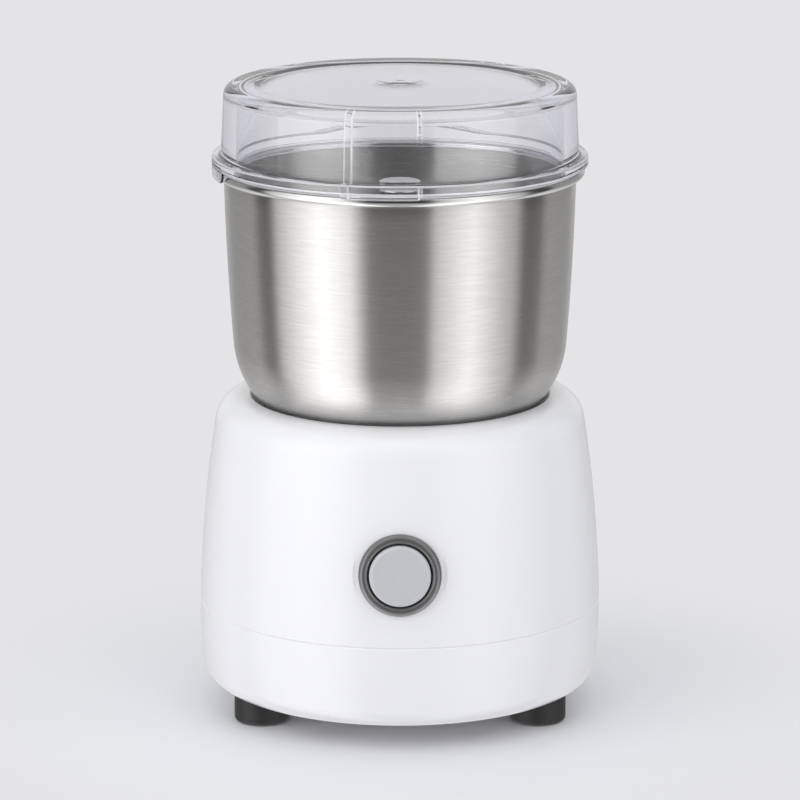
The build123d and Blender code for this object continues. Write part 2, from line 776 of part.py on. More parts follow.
def lid():
    wall_top = (lid_wall_top_radius, lid_crown)
    inner_foot = lid_wall_foot_radius - lid_wall
    inner_top = lid_wall_top_radius - lid_wall
    collar_radius = bowl_mouth_radius - bowl_wall - lid_collar_gap
    collar_bottom = flange_underside - lid_collar_depth
    ceiling = lid_crown - lid_top_thickness
    shell = turned(outline(
        (inner_foot, collar_bottom), (collar_radius, collar_bottom, lid_foot_rounding),
        (collar_radius, flange_underside), (flange_radius, flange_underside, flange_rounding),
        (flange_radius, flange_top, flange_rounding), (lid_wall_foot_radius, flange_top, lid_foot_rounding),
        (*wall_top, lid_crown_rounding), (panel_radius + panel_step_run, lid_crown, panel_step),
        (panel_radius, lid_crown - panel_step), (panel_radius, ceiling),
        (inner_top, ceiling, lid_inner_rounding),
    ))
    panel_rim = lid_crown - panel_step
    panel_middle = panel_rim + panel_dome
    panel_under = panel_rim - lid_top_thickness
    half_rise = panel_dome * 3 / 4
    half_way = panel_radius / 2
    panel = turned([
        ThreePointArc((panel_radius, panel_rim), (half_way, panel_rim + half_rise), (0, panel_middle)),
        Line((0, panel_middle), (0, panel_under + panel_dome)),
        ThreePointArc((0, panel_under + panel_dome), (half_way, panel_under + half_rise),
                      (panel_radius, panel_under)),
        Line((panel_radius, panel_under), (panel_radius, panel_rim)),
    ])
    gate = disc(gate_radius, panel_middle - panel_dome, panel_middle + gate_height / 2)
    gate += disc(gate_nub_radius, panel_middle, panel_middle + gate_height * 2)
    cap = shell + panel + gate
    lug_inner = bead_outer_radius + seat_gap
    lug_top = flange_top - flange_rounding
    for span in lug_spans:
        cap += sector(lug_inner + lug_wall, lug_inner, flange_underside - lug_depth, lug_top, span)
    tab_bottom = flange_underside - tab_depth
    cap += sector(flange_radius + tab_proud, lug_inner, tab_bottom, lug_top, tab_span)
    rib_outer = lid_wall_top_radius + rib_proud
    rib_inner = lid_wall_top_radius - lid_wall / 2
    rib_top = lid_crown - lid_crown_rounding
    cap += sector(rib_outer, rib_inner, flange_top, rib_top, rib_span)
    cap += sector(rib_outer, rib_inner, rib_top - nib_height, rib_top, nib_span)
    return cap


# Motor

def motor_can():
    can = tube(can_radius, can_bore, can_bottom, can_top - can_end_thickness)
    can += tube(can_radius, shaft_radius + seat_gap, can_top - can_end_thickness, can_top)
    rim = can.edges().filter_by(GeomType.CIRCLE).filter_by_position(Axis.Z, can_top, can_top)
    can = fillet(rim.sort_by(SortBy.RADIUS)[-1], can_wall)
    can += tube(bearing_boss_radius, shaft_radius + seat_gap, can_top, motor_top)
    can -= disc(bearing_radius, can_top - can_end_thickness, can_top - can_end_thickness + bearing_height)
    window = block((can_radius, can_radius / 3, fan_height), (can_radius, 0, (fan_bottom + fan_top) / 2))
    can -= around(window, (45, 135, 225, 315))
    hole = disc(motor_screw_radius, can_top - can_end_thickness, can_top)
    return can - around(hole, (90, 270), motor_screw_circle)


def magnet(side):
    ring = tube(can_bore, can_bore - magnet_thickness, core_bottom, core_top)
    half = block((can_radius, 2 * can_radius, 2 * (core_top - core_bottom)),
                 (side * (magnet_gap_width / 2 + can_radius / 2), 0, core_top))
    return ring & half


def armature_core():
    core = disc(core_radius, core_bottom, core_top) - disc(shaft_radius, core_bottom, core_top)
    slot = block((slot_depth, slot_width, core_top - core_bottom),
                 (slot_depth / 2, 0, (core_top + core_bottom) / 2))
    turns = [360 / armature_slots * index for index in range(armature_slots)]
    return core - around(slot, turns, slot_floor_radius)


def armature_windings():
    rounding = winding_height / 3
    windings = turned(outline(
        (winding_inner_radius, winding_bottom, rounding), (winding_radius, winding_bottom, rounding),
        (winding_radius, core_bottom), (winding_inner_radius, core_bottom),
    ))
    windings += turned(outline(
        (winding_inner_radius, core_top), (winding_radius, core_top),
        (winding_radius, core_top + winding_height, rounding),
        (winding_inner_radius, core_top + winding_height, rounding),
    ))
    depth = winding_radius - slot_floor_radius
    bar = block((depth, slot_width, core_top - core_bottom), (depth / 2, 0, (core_top + core_bottom) / 2))
    turns = [360 / armature_slots * index for index in range(armature_slots)]
    return windings + around(bar, turns, slot_floor_radius)


def commutator():
    high = winding_bottom
    body = tube(commutator_radius, shaft_radius, commutator_bottom, high)
    groove = commutator_radius / 8
    slot = block((groove, groove / 2, high - commutator_bottom),
                 (commutator_radius - groove / 2, 0, (high + commutator_bottom) / 2))
    turns = [360 / commutator_bars * index for index in range(commutator_bars)]
    return body - around(slot, turns)


def cooling_fan():
    plate = fan_height / 4
    fan = disc(fan_radius, fan_bottom, fan_bottom + plate) + disc(fan_hub_radius, fan_bottom, fan_top)
    length = fan_radius - fan_hub_radius / 2
    vane = block((length, plate, fan_height), (length / 2, 0, (fan_top + fan_bottom) / 2))
    turns = [360 / fan_blades * index for index in range(fan_blades)]
    fan += around(vane, turns, fan_hub_radius / 2)
    return fan - disc(shaft_radius, fan_bottom, fan_top)


def motor_shaft():
    return disc(shaft_radius, bell_bottom + 2 * shaft_end_gap, shaft_top)


def motor_end_bell():
    bell = disc(can_bore, can_bottom, bell_top) + disc(end_bell_boss_radius, bell_bottom, bell_top)
    return bell - disc(bearing_radius, bell_top - bearing_height, bell_top) - disc(
        shaft_radius + seat_gap, bell_bottom + shaft_end_gap, bell_top)


def bearing(low):
    ring = tube(bearing_radius, shaft_radius + running_gap, low, low + bearing_height)
    groove = tube(bearing_radius - 0.8, shaft_radius + 0.8, low, low + 0.3)
    return ring - groove


def brush_middle():
    return (commutator_bottom + winding_bottom) / 2


def carbon_brush(side):
    tip = commutator_radius + seat_gap
    stick = block((brush_length, brush_width, brush_height),
                  (side * (tip - seat_gap + brush_length / 2), 0, brush_middle()))
    return stick - disc(tip, commutator_bottom, winding_bottom)


def brush_holder(side):
    wall = 2 * brush_box_wall
    start = brush_box_start
    middle = (side * (start + brush_box_length / 2), 0, brush_middle())
    box = block((brush_box_length, brush_width + wall, brush_height + wall), middle)
    box -= block((brush_box_length, brush_width, brush_height), middle)
    end_x = side * (start + brush_box_length - brush_box_wall / 2)
    box += block((brush_box_wall, brush_width + wall, brush_height + wall), (end_x, 0, brush_middle()))
    foot_low = bell_top
    foot_high = brush_middle() - brush_height / 2 - brush_box_wall
    foot_block = block((brush_box_length / 2, brush_width, foot_high - foot_low),
                       (side * (start + brush_box_length / 2), 0, (foot_high + foot_low) / 2))
    return box + foot_block


def brush_spring(side):
    start = commutator_radius + brush_length
    finish = brush_box_start + brush_box_length - brush_box_wall
    wire = 0.3
    length = finish - start - 2 * wire
    coil_radius = brush_height / 2 - 2 * wire
    path = Helix(length / 4, length, coil_radius)
    section = Plane(origin=path @ 0, z_dir=path % 0) * Circle(wire)
    coil = sweep(section, path)
    return Pos(side * (start + wire), 0, brush_middle()) * Rot(0, side * 90, 0) * coil


# Motor mounting

def motor_bracket():
    face = Circle(bracket_disc_radius)
    arm = Pos(mount_circle_radius / 2, 0) * Rectangle(mount_circle_radius, bracket_arm_width)
    arm += Pos(mount_circle_radius, 0) * Circle(bracket_arm_width / 2)
    for angle in mount_angles:
        face += Rot(0, 0, angle) * arm
    face -= Circle(bearing_boss_radius)
    for angle in mount_angles:
        face -= Rot(0, 0, angle) * Pos(mount_circle_radius, 0) * Circle(grommet_groove_radius)
    for angle in (90, 270):
        face -= Rot(0, 0, angle) * Pos(motor_screw_circle, 0) * Circle(motor_screw_radius)
    return Pos(0, 0, can_top) * extrude(face, bracket_thickness)


def motor_grommets():
    low = can_top - grommet_flange
    bracket_top = can_top + bracket_thickness
    spool = turned(outline(
        (mount_screw_radius, low), (grommet_radius, low, grommet_flange / 3), (grommet_radius, can_top),
        (grommet_groove_radius, can_top), (grommet_groove_radius, bracket_top),
        (grommet_radius, bracket_top), (grommet_radius, grommet_top), (mount_screw_radius, grommet_top),
    ))
    return Compound(around(spool, mount_angles, mount_circle_radius))


def mount_screws():
    head_bottom = can_top - grommet_flange - screw_head_height
    fixing = screw(mount_screw_radius, head_bottom, screw_head_height, grommet_top + mount_screw_bite)
    return Compound(around(fixing, mount_angles, mount_circle_radius))


def motor_screws():
    head_bottom = can_top + bracket_thickness
    head_radius = motor_screw_radius * screw_head_ratio
    head = disc(head_radius, head_bottom, head_bottom + screw_head_height)
    shank = disc(motor_screw_radius, can_top - can_end_thickness, head_bottom)
    return Compound(around(head + shank, (90, 270), motor_screw_circle))


def cover_screws():
    head_bottom = underside + cover_screw_sink - screw_head_height
    tip = seam + seam_tongue_height + cover_screw_bite
    fixing = screw(cover_screw_radius, head_bottom, screw_head_height, tip)
    return Compound(around(fixing, cover_screw_angles, cover_screw_circle))


def foot_screws():
    tip = cover_floor + foot_boss_height
    fixing = screw(foot_screw_radius, foot_screw_sink, screw_head_height, tip)
    return Compound(around(fixing, foot_angles.values(), foot_circle_radius))


# Push button, built along its own axis and then set on the casing

def button_bezel():
    ring = turned(outline(
        (bezel_bore_radius, -bezel_sink), (bezel_radius, -bezel_sink),
        (bezel_radius, bezel_proud, bezel_outer_rounding),
        (bezel_bore_radius, bezel_proud, bezel_inner_rounding),
    ))
    barrel = tube(bezel_barrel_radius, bezel_bore_radius, barrel_back, -bezel_sink)
    stem_hole = stem_radius + sliding_gap
    back = tube(bezel_barrel_radius, stem_hole, barrel_back, barrel_back + bezel_back_thickness)
    return on_button_axis(ring + barrel + back)


def bezel_nut():
    nut = Pos(0, 0, nut_back) * extrude(RegularPolygon(bezel_nut_radius, 6), bezel_nut_height)
    return on_button_axis(nut - disc(bezel_barrel_radius, nut_back, bracket_back))


def button_cap():
    radius = bezel_bore_radius - sliding_gap
    body = disc(radius, cap_back, cap_proud)
    front = body.edges().filter_by(GeomType.CIRCLE).sort_by(Axis.Z)[-1]
    body = fillet(front, cap_rounding)
    return on_button_axis(body + disc(stem_radius, stem_end, cap_back))


def stem_clip():
    front = barrel_back - seat_gap
    clip = tube(clip_radius, stem_radius, front - clip_thickness, front)
    clip -= block((clip_radius, stem_radius, 2 * clip_thickness), (clip_radius, 0, front))
    return on_button_axis(clip)


def button_spring():
    start = barrel_back + bezel_back_thickness + spring_wire_radius
    length = cap_back - start - spring_wire_radius
    path = Helix(length / spring_turns, length, spring_radius)
    section = Plane(origin=path @ 0, z_dir=path % 0) * Circle(spring_wire_radius)
    return on_button_axis(Pos(0, 0, start) * sweep(section, path))


def switch_plunger():
    return on_button_axis(disc(plunger_radius, stem_end - plunger_length, stem_end))


def switch_body():
    middle = (switch_front + switch_back) / 2
    body = block((switch_width, switch_height, switch_depth), (0, 0, middle))
    upright = body.edges().filter_by(Axis.Z)
    body = chamfer(upright, switch_bracket_thickness / 2)
    bore_end = stem_end - plunger_length - button_travel - seat_gap
    return on_button_axis(body - disc(plunger_radius + running_gap, bore_end, switch_front))


def switch_bracket():
    plate = Rectangle(2 * bracket_half_width, switch_bracket_height) - Circle(bezel_barrel_radius)
    bracket = Pos(0, 0, bracket_back) * extrude(plate, switch_bracket_thickness)
    arm_length = bracket_back - switch_back
    for side in (-1, 1):
        arm_x = side * (switch_width / 2 + switch_bracket_thickness / 2)
        bracket += block((switch_bracket_thickness, switch_arm_height, arm_length),
                         (arm_x, 0, bracket_back - arm_length / 2))
    return on_button_axis(bracket)


def switch_terminals():
    tab = Box(terminal_width, terminal_thickness, terminal_length)
    tabs = [Pos(side * switch_width / 4, 0, switch_back - terminal_length / 2) * tab for side in (-1, 1)]
    return Compound([on_button_axis(placed) for placed in tabs])


# Electrics

def board_part(size, height, y):
    """Box soldered to the board's outer face."""
    depth = size[0]
    return block(size, (board_face + board_thickness + depth / 2, y, height))


def rectifier_board():
    return block((board_thickness, board_width, board_height),
                 (board_face + board_thickness / 2, 0, board_middle))


def cord_grommet():
    hole_depth = -(cover_wall + inlet_neck_slack)
    back = hole_depth - inlet_bead_depth
    bead_edge = inlet_hole_radius + inlet_bead_proud
    grommet = turned(outline(
        (cord_radius, back), (inlet_hole_radius, back, inlet_bead_rounding), (bead_edge, hole_depth),
        (inlet_hole_radius, hole_depth), (inlet_hole_radius, -inlet_flange_sink),
        (inlet_flange_radius, -inlet_flange_sink),
        (inlet_flange_radius, inlet_flange_proud, inlet_flange_proud * 0.6),
        (cord_radius, inlet_flange_proud),
    ))
    return inlet_plane.location * grommet


pieces = {
    "base_shell": base_shell(),
    "seat_well": seat_well(),
    "bottom_cover": bottom_cover(),
    "seat_ring": seat_band(),
    "cover_screws": cover_screws(),
    "foot_screws": foot_screws(),
    "bowl": bowl(),
    "bowl_hub": bowl_hub(),
    "hub_gasket": tube(hub_flange_radius, hub_gasket_inner_radius,
                       bowl_bottom - hub_gasket_thickness, bowl_bottom),
    "hub_nut": hub_nut(),
    "spindle_bush": tube(bush_radius, spindle_radius + running_gap,
                         hub_top - seal_height - bush_height, hub_top - seal_height),
    "shaft_seal": shaft_seal(),
    "blade_spindle": blade_spindle(),
    "thrust_washer": tube(washer_radius, spindle_radius, washer_underside, lower_spacer_bottom),
    "lower_spacer": tube(post_radius, spindle_radius, lower_spacer_bottom, lower_blade_bottom),
    "lower_blade": blade(lower_blade_bottom, lower_blade_reach),
    "middle_spacer": tube(post_radius, spindle_radius, middle_spacer_bottom, upper_blade_bottom),
    "upper_blade": Rot(0, 0, 90) * blade(upper_blade_bottom, upper_blade_reach),
    "upper_spacer": tube(post_radius, spindle_radius, upper_spacer_bottom, post_head_underside),
    "post_screw": post_screw(),
    "bowl_coupling": bowl_coupling(),
    "lid": lid(),
    "motor_can": motor_can(),
    "magnet_left": magnet(-1),
    "magnet_right": magnet(1),
    "armature_core": armature_core(),
    "armature_windings": armature_windings(),
    "commutator": commutator(),
    "cooling_fan": cooling_fan(),
    "motor_shaft": motor_shaft(),
    "drive_coupling": drive_coupling(),
    "motor_end_bell": motor_end_bell(),
    "upper_bearing": bearing(can_top - can_end_thickness),
    "lower_bearing": bearing(bell_top - bearing_height),
    "carbon_brush_left": carbon_brush(-1),
    "carbon_brush_right": carbon_brush(1),
    "brush_holder_left": brush_holder(-1),
    "brush_holder_right": brush_holder(1),
    "brush_spring_left": brush_spring(-1),
    "brush_spring_right": brush_spring(1),
    "motor_bracket": motor_bracket(),
    "motor_grommets": motor_grommets(),
    "mount_screws": mount_screws(),
    "motor_screws": motor_screws(),
    "button_bezel": button_bezel(),
    "bezel_nut": bezel_nut(),
    "button_cap": button_cap(),
    "stem_clip": stem_clip(),
    "button_spring": button_spring(),
    "switch_plunger": switch_plunger(),
    "switch_body": switch_body(),
    "switch_bracket": switch_bracket(),
    "switch_terminals": switch_terminals(),
    "rectifier_board": rectifier_board(),
    "bridge_rectifier": board_part(rectifier_size, board_middle + board_height / 4, 0),
    "suppression_capacitor": board_part(capacitor_size, board_middle - board_height / 6, 0),
    "cord_grommet": cord_grommet(),
}
for place, angle in foot_angles.items():
    pieces[f"foot_{place}"] = around(foot(), [angle], foot_circle_radius)[0]

os.makedirs("parts", exist_ok=True)
for name, piece in pieces.items():
    export_step(piece, f"parts/{name}.step")
print(len(pieces), "parts")
print("bowl from", round(bowl_bottom, 2), "to", round(bead_top, 2), "and lid crown at", round(lid_crown, 2))
print("button at", round(button_height, 2), "tipped", round(math.degrees(button_tilt), 3), "degrees")
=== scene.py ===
import math

import bmesh
import bpy
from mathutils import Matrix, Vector


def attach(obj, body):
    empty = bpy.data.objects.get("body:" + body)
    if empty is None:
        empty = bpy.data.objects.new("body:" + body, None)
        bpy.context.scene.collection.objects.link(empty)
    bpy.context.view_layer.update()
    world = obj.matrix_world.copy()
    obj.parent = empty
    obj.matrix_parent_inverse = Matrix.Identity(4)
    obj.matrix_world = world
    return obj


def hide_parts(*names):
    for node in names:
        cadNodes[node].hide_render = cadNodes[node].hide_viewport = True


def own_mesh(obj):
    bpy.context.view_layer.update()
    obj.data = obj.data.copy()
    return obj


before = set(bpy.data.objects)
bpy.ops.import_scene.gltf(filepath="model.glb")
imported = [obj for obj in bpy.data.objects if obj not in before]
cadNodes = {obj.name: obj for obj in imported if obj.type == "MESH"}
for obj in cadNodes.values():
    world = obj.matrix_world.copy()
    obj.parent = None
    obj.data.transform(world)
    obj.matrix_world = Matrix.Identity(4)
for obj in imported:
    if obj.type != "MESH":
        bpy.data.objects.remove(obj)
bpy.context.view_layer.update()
mm = 0.001
print("frame loaded,", len(cadNodes), "nodes")


# shader helpers

def startMaterial(name):
    material = bpy.data.materials.new(name)
    material.use_nodes = True
    tree = material.node_tree
    return material, tree, tree.nodes["Principled BSDF"]


def addNode(tree, kind, **values):
    node = tree.nodes.new(kind)
    for key, value in values.items():
        setattr(node, key, value)
    return node


def join(tree, source, output, target, inlet):
    tree.links.new(source.outputs[output], target.inputs[inlet])


def mathNode(tree, operation, first, second=None, clamp=False):
    # first and second are numbers or (node, output name)
    node = addNode(tree, "ShaderNodeMath", operation=operation, use_clamp=clamp)
    for index, value in enumerate((first, second)):
        if isinstance(value, tuple):
            join(tree, value[0], value[1], node, index)
        elif value is not None:
            node.inputs[index].default_value = value
    return node


def rangeNode(tree, value, low, high, toLow, toHigh):
    node = addNode(tree, "ShaderNodeMapRange", clamp=True)
    join(tree, value[0], value[1], node, "Value")
    for name, number in (("From Min", low), ("From Max", high), ("To Min", toLow), ("To Max", toHigh)):
        node.inputs[name].default_value = number
    return node


def mixColour(tree, factor, first, second):
    # a colour mix has its factor at socket 0, its colours at 6 and 7 and its result at 2
    node = addNode(tree, "ShaderNodeMix", data_type="RGBA")
    join(tree, factor[0], factor[1], node, 0)
    for index, value in ((6, first), (7, second)):
        if isinstance(value[0], bpy.types.Node):
            join(tree, value[0], value[1], node, index)
        else:
            node.inputs[index].default_value = (*value, 1)
    return node


def startGroup(name, inputs, outputs):
    group = bpy.data.node_groups.new(name, "ShaderNodeTree")
    for label, kind, value in inputs:
        socket = group.interface.new_socket(name=label, in_out="INPUT", socket_type=kind)
        if value is not None:
            socket.default_value = value
    for label, kind in outputs:
        group.interface.new_socket(name=label, in_out="OUTPUT", socket_type=kind)
    return group, group.nodes.new("NodeGroupInput"), group.nodes.new("NodeGroupOutput")


def useGroup(tree, group, **values):
    node = addNode(tree, "ShaderNodeGroup", node_tree=group)
    for key, value in values.items():
        if isinstance(value, tuple) and isinstance(value[0], bpy.types.Node):
            join(tree, value[0], value[1], node, key)
        else:
            node.inputs[key].default_value = value
    return node


def makeEdgeWearAndHighlight():
    # bright along an edge, broken up by a little noise: edge wear, and with a strong amount a painted
    # highlight rim
    group, given, out = startGroup(
        "edgeWearAndHighlight",
        [("Radius", "NodeSocketFloat", 0.0004), ("Amount", "NodeSocketFloat", 1.0)],
        [("Edge", "NodeSocketFloat")],
    )
    bevel = addNode(group, "ShaderNodeBevel", samples=4)
    join(group, given, "Radius", bevel, "Radius")
    surface = addNode(group, "ShaderNodeNewGeometry")
    facing = addNode(group, "ShaderNodeVectorMath", operation="DOT_PRODUCT")
    join(group, bevel, "Normal", facing, 0)
    join(group, surface, "Normal", facing, 1)
    edge = rangeNode(group, (facing, "Value"), 0.99, 0.80, 0.0, 1.0)
    place = addNode(group, "ShaderNodeTexCoord")
    breakup = addNode(group, "ShaderNodeTexNoise")
    breakup.inputs["Scale"].default_value = 220
    join(group, place, "Object", breakup, "Vector")
    patches = rangeNode(group, (breakup, "Fac"), 0.40, 0.62, 0.25, 1.0)
    wearAndHighlight = mathNode(group, "MULTIPLY", (edge, "Result"), (patches, "Result"))
    amount = mathNode(group, "MULTIPLY", (wearAndHighlight, "Value"), (given, "Amount"), clamp=True)
    join(group, amount, "Value", out, "Edge")
    return group


def makeBrushing():
    # fine lines that run round the Z axis of the given vector
    group, given, out = startGroup(
        "brushing",
        [("Vector", "NodeSocketVector", None), ("Lines", "NodeSocketFloat", 2600.0),
         ("Streak", "NodeSocketFloat", 3.0)],
        [("Height", "NodeSocketFloat"), ("Tone", "NodeSocketFloat")],
    )
    parts = addNode(group, "ShaderNodeSeparateXYZ")
    join(group, given, "Vector", parts, "Vector")
    flat = addNode(group, "ShaderNodeCombineXYZ")
    join(group, parts, "X", flat, "X")
    join(group, parts, "Y", flat, "Y")
    radius = addNode(group, "ShaderNodeVectorMath", operation="LENGTH")
    join(group, flat, "Vector", radius, 0)
    across = mathNode(group, "ADD", (radius, "Value"), (parts, "Z"))
    line = mathNode(group, "MULTIPLY", (across, "Value"), (given, "Lines"))
    way = addNode(group, "ShaderNodeVectorMath", operation="NORMALIZE")
    join(group, flat, "Vector", way, 0)
    along = addNode(group, "ShaderNodeVectorMath", operation="SCALE")
    join(group, way, "Vector", along, 0)
    join(group, given, "Streak", along, "Scale")
    split = addNode(group, "ShaderNodeSeparateXYZ")
    join(group, along, "Vector", split, "Vector")
    place = addNode(group, "ShaderNodeCombineXYZ")
    join(group, split, "X", place, "X")
    join(group, split, "Y", place, "Y")
    join(group, line, "Value", place, "Z")
    fine = addNode(group, "ShaderNodeTexNoise")
    fine.inputs["Scale"].default_value = 1.0
    fine.inputs["Detail"].default_value = 3.0
    fine.inputs["Roughness"].default_value = 0.65
    join(group, place, "Vector", fine, "Vector")
    coarsePlace = addNode(group, "ShaderNodeVectorMath", operation="MULTIPLY")
    coarsePlace.inputs[1].default_value = (0.7, 0.7, 0.30)
    join(group, place, "Vector", coarsePlace, 0)
    coarse = addNode(group, "ShaderNodeTexNoise")
    coarse.inputs["Scale"].default_value = 1.0
    coarse.inputs["Detail"].default_value = 2.0
    join(group, coarsePlace, "Vector", coarse, "Vector")
    both = mathNode(group, "ADD", (fine, "Fac"), (coarse, "Fac"))
    tone = rangeNode(group, (both, "Value"), 0.7, 1.3, 0.0, 1.0)
    join(group, fine, "Fac", out, "Height")
    join(group, tone, "Result", out, "Tone")
    return group


def makeMottle():
    # slow variation over a moulded or rolled surface, and a fine skin
    group, given, out = startGroup(
        "mottle",
        [("Scale", "NodeSocketFloat", 30.0), ("Fine", "NodeSocketFloat", 900.0)],
        [("Slow", "NodeSocketFloat"), ("Skin", "NodeSocketFloat")],
    )
    place = addNode(group, "ShaderNodeTexCoord")
    slow = addNode(group, "ShaderNodeTexNoise")
    slow.inputs["Detail"].default_value = 3.0
    join(group, place, "Object", slow, "Vector")
    join(group, given, "Scale", slow, "Scale")
    skin = addNode(group, "ShaderNodeTexNoise")
    skin.inputs["Detail"].default_value = 2.0
    join(group, place, "Object", skin, "Vector")
    join(group, given, "Fine", skin, "Scale")
    join(group, slow, "Fac", out, "Slow")
    join(group, skin, "Fac", out, "Skin")
    return group


def makeDust():
    # faint dust where a surface faces up
    group, given, out = startGroup(
        "dust",
        [("Amount", "NodeSocketFloat", 0.1)],
        [("Dust", "NodeSocketFloat")],
    )
    surface = addNode(group, "ShaderNodeNewGeometry")
    parts = addNode(group, "ShaderNodeSeparateXYZ")
    join(group, surface, "Normal", parts, "Vector")
    up = rangeNode(group, (parts, "Z"), 0.5, 1.0, 0.0, 1.0)
    place = addNode(group, "ShaderNodeTexCoord")
    specks = addNode(group, "ShaderNodeTexNoise")
    specks.inputs["Scale"].default_value = 700
    specks.inputs["Detail"].default_value = 4.0
    join(group, place, "Object", specks, "Vector")
    spots = rangeNode(group, (specks, "Fac"), 0.5, 0.75, 0.0, 1.0)
    both = mathNode(group, "MULTIPLY", (up, "Result"), (spots, "Result"))
    amount = mathNode(group, "MULTIPLY", (both, "Value"), (given, "Amount"), clamp=True)
    join(group, amount, "Value", out, "Dust")
    return group


edgeWearAndHighlight = makeEdgeWearAndHighlight()
brushing = makeBrushing()
mottle = makeMottle()
dust = makeDust()
print("shader groups ready")


def bumpNode(tree, shader, height, strength, distance):
    bump = addNode(tree, "ShaderNodeBump")
    bump.inputs["Strength"].default_value = strength
    bump.inputs["Distance"].default_value = distance
    join(tree, height[0], height[1], bump, "Height")
    join(tree, bump, "Normal", shader, "Normal")


dustColour = (0.62, 0.61, 0.59)


def plasticMaterial(name, colour, roughness, skin=0.02, shade=0.04, wearAndHighlight=0.3, dusty=0.05, coat=0.0):
    material, tree, shader = startMaterial(name)
    variation = useGroup(tree, mottle, Scale=28.0, Fine=1400.0)
    darker = tuple(channel * (1 - shade) for channel in colour)
    base = mixColour(tree, (variation, "Slow"), darker, colour)
    # lighter edges: wear, and on the cap a painted highlight rim
    edges = useGroup(tree, edgeWearAndHighlight, Radius=0.0003, Amount=wearAndHighlight)
    lighter = tuple(min(0.95, channel * 1.15 + 0.02) for channel in colour)
    edged = mixColour(tree, (edges, "Edge"), (base, 2), lighter)
    lint = useGroup(tree, dust, Amount=dusty)
    dusted = mixColour(tree, (lint, "Dust"), (edged, 2), dustColour)
    join(tree, dusted, 2, shader, "Base Color")
    rough = rangeNode(tree, (variation, "Slow"), 0.3, 0.7, roughness * 0.88, roughness * 1.12)
    join(tree, rough, "Result", shader, "Roughness")
    shader.inputs["Coat Weight"].default_value = coat
    shader.inputs["Coat Roughness"].default_value = 0.06
    bumpNode(tree, shader, (variation, "Skin"), skin, 0.0002)
    return material


def metalMaterial(name, colour, roughness, lines, tone, anisotropic=0.0, centre=(0, 0, 0), tilt=0.0, wearAndHighlight=0.3,
                  streak=3.0, bump=0.10):
    # the lines run round an axis through centre, tilted about X, roughly that many to a metre
    material, tree, shader = startMaterial(name)
    shader.inputs["Metallic"].default_value = 1.0
    shader.inputs["Anisotropic"].default_value = anisotropic
    place = addNode(tree, "ShaderNodeTexCoord")
    turn = addNode(tree, "ShaderNodeMapping", vector_type="TEXTURE")
    turn.inputs["Location"].default_value = centre
    turn.inputs["Rotation"].default_value = (tilt, 0, 0)
    join(tree, place, "Object", turn, "Vector")
    streaks = useGroup(tree, brushing, Vector=(turn, "Vector"), Lines=lines, Streak=streak)
    darker = tuple(channel * (1 - tone) for channel in colour)
    base = mixColour(tree, (streaks, "Tone"), darker, colour)
    edges = useGroup(tree, edgeWearAndHighlight, Radius=0.00025, Amount=wearAndHighlight)
    lighter = tuple(min(0.95, channel * 1.12 + 0.02) for channel in colour)
    edged = mixColour(tree, (edges, "Edge"), (base, 2), lighter)
    join(tree, edged, 2, shader, "Base Color")
    rough = rangeNode(tree, (streaks, "Tone"), 0.0, 1.0, roughness * 1.03, roughness * 0.97)
    join(tree, rough, "Result", shader, "Roughness")
    if anisotropic:
        shader.inputs["Anisotropic Rotation"].default_value = 0.25
        grainWay = addNode(tree, "ShaderNodeTangent", direction_type="RADIAL", axis="Z")
        join(tree, grainWay, "Tangent", shader, "Tangent")
    bumpNode(tree, shader, (streaks, "Height"), bump, 0.00002)
    return material


# finishes

casingLook = {
    "colour": (0.872, 0.868, 0.889), "roughness": 0.20, "skin": 0.015, "shade": 0.012, "wearAndHighlight": 0.0,
    "dusty": 0.0, "coat": 0.25,
}
casingWhite = plasticMaterial("casingWhite", **casingLook)

bowlLook = {
    "colour": (0.695, 0.683, 0.668), "roughness": 0.28, "lines": 5200.0, "tone": 0.12, "anisotropic": 1.0,
    "wearAndHighlight": 0.0, "streak": 9.0, "bump": 0.020,
}
bowlBrushed = metalMaterial("bowlBrushed", **bowlLook)

beadLook = {
    "colour": (0.72, 0.715, 0.71), "roughness": 0.15, "lines": 1400.0, "tone": 0.03, "wearAndHighlight": 0.0,
    "bump": 0.02,
}
beadPolished = metalMaterial("beadPolished", **beadLook)

postTurned = metalMaterial("postTurned", (0.66, 0.655, 0.65), 0.20, lines=3800.0, tone=0.10)
bladeGround = metalMaterial("bladeGround", (0.68, 0.68, 0.68), 0.22, lines=2600.0, tone=0.12, wearAndHighlight=0.8,
                            bump=0.15)
screwPlated = metalMaterial("screwPlated", (0.60, 0.61, 0.63), 0.30, lines=1500.0, tone=0.10)
canPlated = metalMaterial("canPlated", (0.52, 0.53, 0.55), 0.34, lines=800.0, tone=0.14)
coreLaminated = metalMaterial("coreLaminated", (0.34, 0.35, 0.37), 0.42, lines=4000.0, tone=0.45, bump=0.5)
windingCopper = metalMaterial("windingCopper", (0.72, 0.31, 0.13), 0.28, lines=3000.0, tone=0.40, bump=0.9)
brassTurned = metalMaterial("brassTurned", (0.77, 0.58, 0.26), 0.26, lines=2600.0, tone=0.12)
footRubber = plasticMaterial("footRubber", (0.018, 0.018, 0.019), 0.55, skin=0.25, shade=0.3, wearAndHighlight=0.5)
sealRubber = plasticMaterial("sealRubber", (0.030, 0.030, 0.032), 0.60, skin=0.30, shade=0.3)
hubBlack = plasticMaterial("hubBlack", (0.030, 0.030, 0.032), 0.38, skin=0.12, shade=0.2)
switchBlack = plasticMaterial("switchBlack", (0.040, 0.040, 0.045), 0.42, skin=0.12, shade=0.2)
magnetFerrite = plasticMaterial("magnetFerrite", (0.055, 0.055, 0.060), 0.62, skin=0.40, shade=0.3, wearAndHighlight=0.6)
